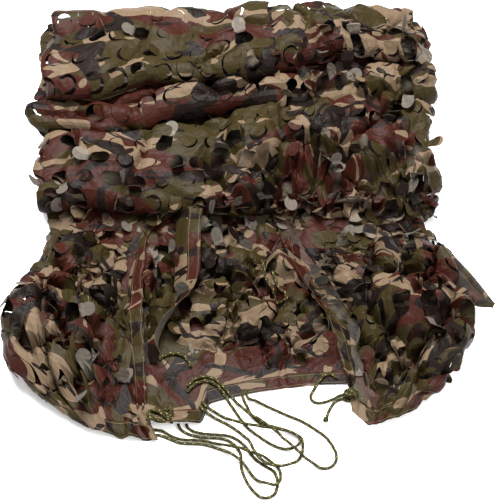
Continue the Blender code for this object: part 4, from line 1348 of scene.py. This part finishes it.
def smooth_route(route):
    """How far along a smooth curve through the route its points are, and their x and y."""
    x, y = np.array(route).T
    stations = distances(x, y)
    fine = np.linspace(0, stations[-1], round(stations[-1] / ROUTE_STEP))
    return fine, through(stations, x, fine), through(stations, y, fine)


def cord_line(route, laid):
    """The middle of a cord along its route, lifted in long low humps over all that it crosses."""
    fine, x, y = smooth_route(route)
    under = cloth_under(x, y)
    for other in laid:
        meets = np.hypot(x[:, None] - other[:, 0], y[:, None] - other[:, 1]) < 2 * CORD_RADIUS + CORD_GAP
        under = np.maximum(under, np.where(meets, other[:, 2] + CORD_RADIUS + CORD_GAP, 0).max(axis=1))
    apart = np.abs(fine[:, None] - fine)
    hump = np.cos(np.clip((apart - HUMP_FLAT) / HUMP_REACH, 0, 1) * math.pi / 2) ** 2
    itself = np.hypot(x[:, None] - x, y[:, None] - y) < 2 * CORD_RADIUS + CORD_GAP
    itself &= fine[:, None] - fine > 4 * CORD_RADIUS
    for _ in range(2):
        z = CORD_RADIUS + (under[None, :] * hump).max(axis=1)
        under = np.maximum(under, np.where(itself, z[None, :] + CORD_RADIUS + CORD_GAP, 0).max(axis=1))
    return np.stack([x, y, z], axis=1)


def even_points(line, step):
    """Points about one step apart along a line, and how far along it each is."""
    stations = np.concatenate([[0], np.cumsum(np.linalg.norm(np.diff(line, axis=0), axis=1))])
    at = np.linspace(0, stations[-1], max(2, round(stations[-1] / step)))
    return np.stack([np.interp(at, stations, line[:, k]) for k in range(3)], axis=1), at


def plait(angle, along):
    """Height of the braid from 0 to 1, and which yarn shows: 0 dark, 0.5 olive, 1 lime."""
    turns = angle * PLAITS_ROUND / (2 * math.pi)
    up, down = turns + along / PLAIT_LENGTH, turns - along / PLAIT_LENGTH
    level = np.sqrt(np.abs(np.sin(math.pi * up) * np.sin(math.pi * down)))
    one, other = np.floor(up).astype(int), np.floor(down).astype(int)
    yarn = np.where((one + other) % 2 == 0, 0.5, 0.0)
    return level, np.where((one % 3 == 0) & ((one + other) % 2 == 0), 1.0, yarn)


def braided_tube(name, line):
    """A braided cord along a line: rings of points with the plaits in relief, closed at both ends."""
    points, along = even_points(line, RING_STEP)
    forward = np.gradient(points, axis=0)
    forward /= np.linalg.norm(forward, axis=1, keepdims=True)
    aside = np.cross(forward, (0, 0, 1.0))
    aside /= np.linalg.norm(aside, axis=1, keepdims=True)
    upward = np.cross(aside, forward)
    angle = np.linspace(0, 2 * math.pi, RING_POINTS, endpoint=False)
    level, yarn = plait(angle[None, :], along[:, None])
    radius = CORD_RADIUS * (BRAID_LOW + BRAID_RISE * level)
    radius[0], radius[-1] = 0.7 * radius[0], 0.7 * radius[-1]
    rings = points[:, None] + radius[..., None] * (
        np.cos(angle)[None, :, None] * aside[:, None] + np.sin(angle)[None, :, None] * upward[:, None])
    number = np.arange(rings[..., 0].size).reshape(-1, RING_POINTS)
    following = np.roll(number, -1, axis=1)
    quads = np.stack([number[:-1], following[:-1], following[1:], number[1:]], axis=2).reshape(-1, 4)
    mesh = bpy.data.meshes.new(name)
    mesh.from_pydata(rings.reshape(-1, 3).tolist(), [],
                     quads.tolist() + [number[0, ::-1].tolist(), number[-1].tolist()])
    mesh.polygons.foreach_set("use_smooth", np.full(len(mesh.polygons), True))
    shown = mesh.attributes.new("yarn", "FLOAT", "POINT")
    shown.data.foreach_set("value", yarn.ravel())
    obj = bpy.data.objects.new(name, mesh)
    bpy.context.collection.objects.link(obj)
    return obj


CORD_DARK = "#17160B"
CORD_OLIVE = "#38341C"
CORD_LIME = "#77703A"


def braided_polyester():
    """Solid braided polyester: dull yarns in three greens, in plaits coarse enough to show, and fuzzy."""
    material = new_material("braided_polyester_cord")
    yarn = add(material, "Attribute", attribute_name="yarn").outputs["Fac"]
    colors = add(material, "ValToRGB", {"Fac": yarn})
    ramp = colors.color_ramp
    ramp.interpolation = "CONSTANT"
    ramp.elements[0].color = linear(CORD_DARK)
    ramp.elements[1].position, ramp.elements[1].color = 0.75, linear(CORD_LIME)
    ramp.elements.new(0.25).color = linear(CORD_OLIVE)
    at = add(material, "TexCoord").outputs["Object"]
    fuzz = add(material, "TexNoise", {"Vector": at}, Scale=2600.0, Detail=2.0)
    bump = add(material, "Bump", {"Height": fuzz.outputs["Fac"]}, Strength=0.3, Distance=0.0002)
    surface = {"Base Color": colors.outputs["Color"], "Normal": bump.outputs["Normal"]}
    dull = add(material, "BsdfPrincipled", surface, Roughness=0.8, Specular_IOR_Level=0.12)
    add(material, "OutputMaterial", {"Surface": dull.outputs["BSDF"]})
    return material


KNOT_RADIUS = 0.0019


def tail_knot():
    """An overhand knot, pulled tight: the cord wound once round itself."""
    middle = np.array(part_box("cord_tail_knot")).sum(axis=0) / 2
    turn = np.linspace(0, 4 * math.pi, 60)
    wound = 0.0021 + 0.0003 * np.sin(1.5 * turn)
    line = np.stack([wound * np.cos(turn), 0.0016 * np.sin(0.5 * turn + 0.6), wound * np.sin(turn)], axis=1)
    line *= KNOT_RADIUS / wound.max()
    return braided_tube("cord_tail_knot_wound", line + middle + (0, 0, 0.001))


WRAP_TURNS = 3
WRAP_WIDTH, WRAP_HEIGHT, WRAP_PITCH = 0.0075, 0.0070, 0.0032
WRAP_AT = (0.1300, -0.2600, 0.0090)


def corner_wrap():
    """The tie's turns round the gathered right corner."""
    turn = np.linspace(-0.5 * math.pi, (2 * WRAP_TURNS - 0.5) * math.pi, 150)
    line = np.stack([WRAP_WIDTH * np.sin(turn), -WRAP_PITCH * turn / (2 * math.pi),
                     WRAP_HEIGHT * np.cos(turn)], axis=1)
    line[:, 0] += 0.25 * line[:, 1]
    return braided_tube("cord_corner_wrap", line + WRAP_AT)


BOW_SIZE = (0.0150, 0.0075, 0.0040)
BOW_AT = (-0.1060, -0.2960, 0.0160)


def left_knot():
    """The left corner's knot: a bow of the doubled cord, pulled loose."""
    turn = np.linspace(0.35, 0.35 + 1.92 * math.pi, 420)
    line = np.stack([np.cos(3 * turn), np.sin(4 * turn + 0.3), np.sin(7 * turn)], axis=1)
    return braided_tube("cord_left_knot", line * BOW_SIZE + BOW_AT)


KNOTS = dict(cord_corner_tie=corner_wrap, cord_left_loop=left_knot)
braid = braided_polyester()


def as_cord(piece, node):
    """Makes a piece a draw-cord in the place of a plain one."""
    piece.data.materials.append(braid)
    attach(piece, "root")
    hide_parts(node)
    return piece


laid = []
for name, route in CORD_ROUTES.items():
    laid.append(cord_line(route, laid))
    cord = as_cord(braided_tube(name + "_braid", laid[-1]), name)
    is_tail = name == "cord_corner_tail"
    knots = [as_cord(tail_knot(), "cord_tail_knot")] if is_tail else []
    if name in KNOTS:
        knots = [as_cord(KNOTS[name](), name)]


# A short bight of cord comes out from under the right hem and lies on top of the creased cloth, with
# both its ends tucked down under the hem.

HEM_BIGHT = (
    (0.0201, -0.0651), (0.0213, -0.0811), (0.0251, -0.0984), (0.0340, -0.1156), (0.0442, -0.1310),
    (0.0506, -0.1325), (0.0494, -0.1233), (0.0406, -0.1078), (0.0343, -0.0906), (0.0305, -0.0731),
)
BIGHT_TOUCH = 0.0035
BIGHT_DIP, DIP_LENGTH = 0.009, 0.010


def hem_bight():
    """The bight's middle: 1.2 radii over the highest cloth near it, smoothed, and never below the table."""
    fine, x, y = smooth_route(HEM_BIGHT)
    net = np.array([vertex.co for vertex in bpy.data.objects["net_apron"].data.vertices])
    net = net[(np.abs(net[:, 0] - x.mean()) < 0.03) & (np.abs(net[:, 1] - y.mean()) < 0.05)]
    near = np.hypot(net[:, None, 0] - x, net[:, None, 1] - y) < BIGHT_TOUCH
    rests = np.where(near, net[:, None, 2], 0.0).max(axis=0)
    kernel = np.hanning(17) / np.hanning(17).sum()
    z = np.convolve(np.pad(rests, 8, mode="edge"), kernel, mode="valid") + 1.2 * CORD_RADIUS
    z -= BIGHT_DIP * (1 - eased(np.minimum(fine, fine[-1] - fine) / DIP_LENGTH))
    return np.stack([x, y, np.maximum(z, 1.1 * CORD_RADIUS)], axis=1)


bight_line = hem_bight()
bight = as_cord(braided_tube("cord_hem_bight_braid", bight_line), "cord_hem_loop")
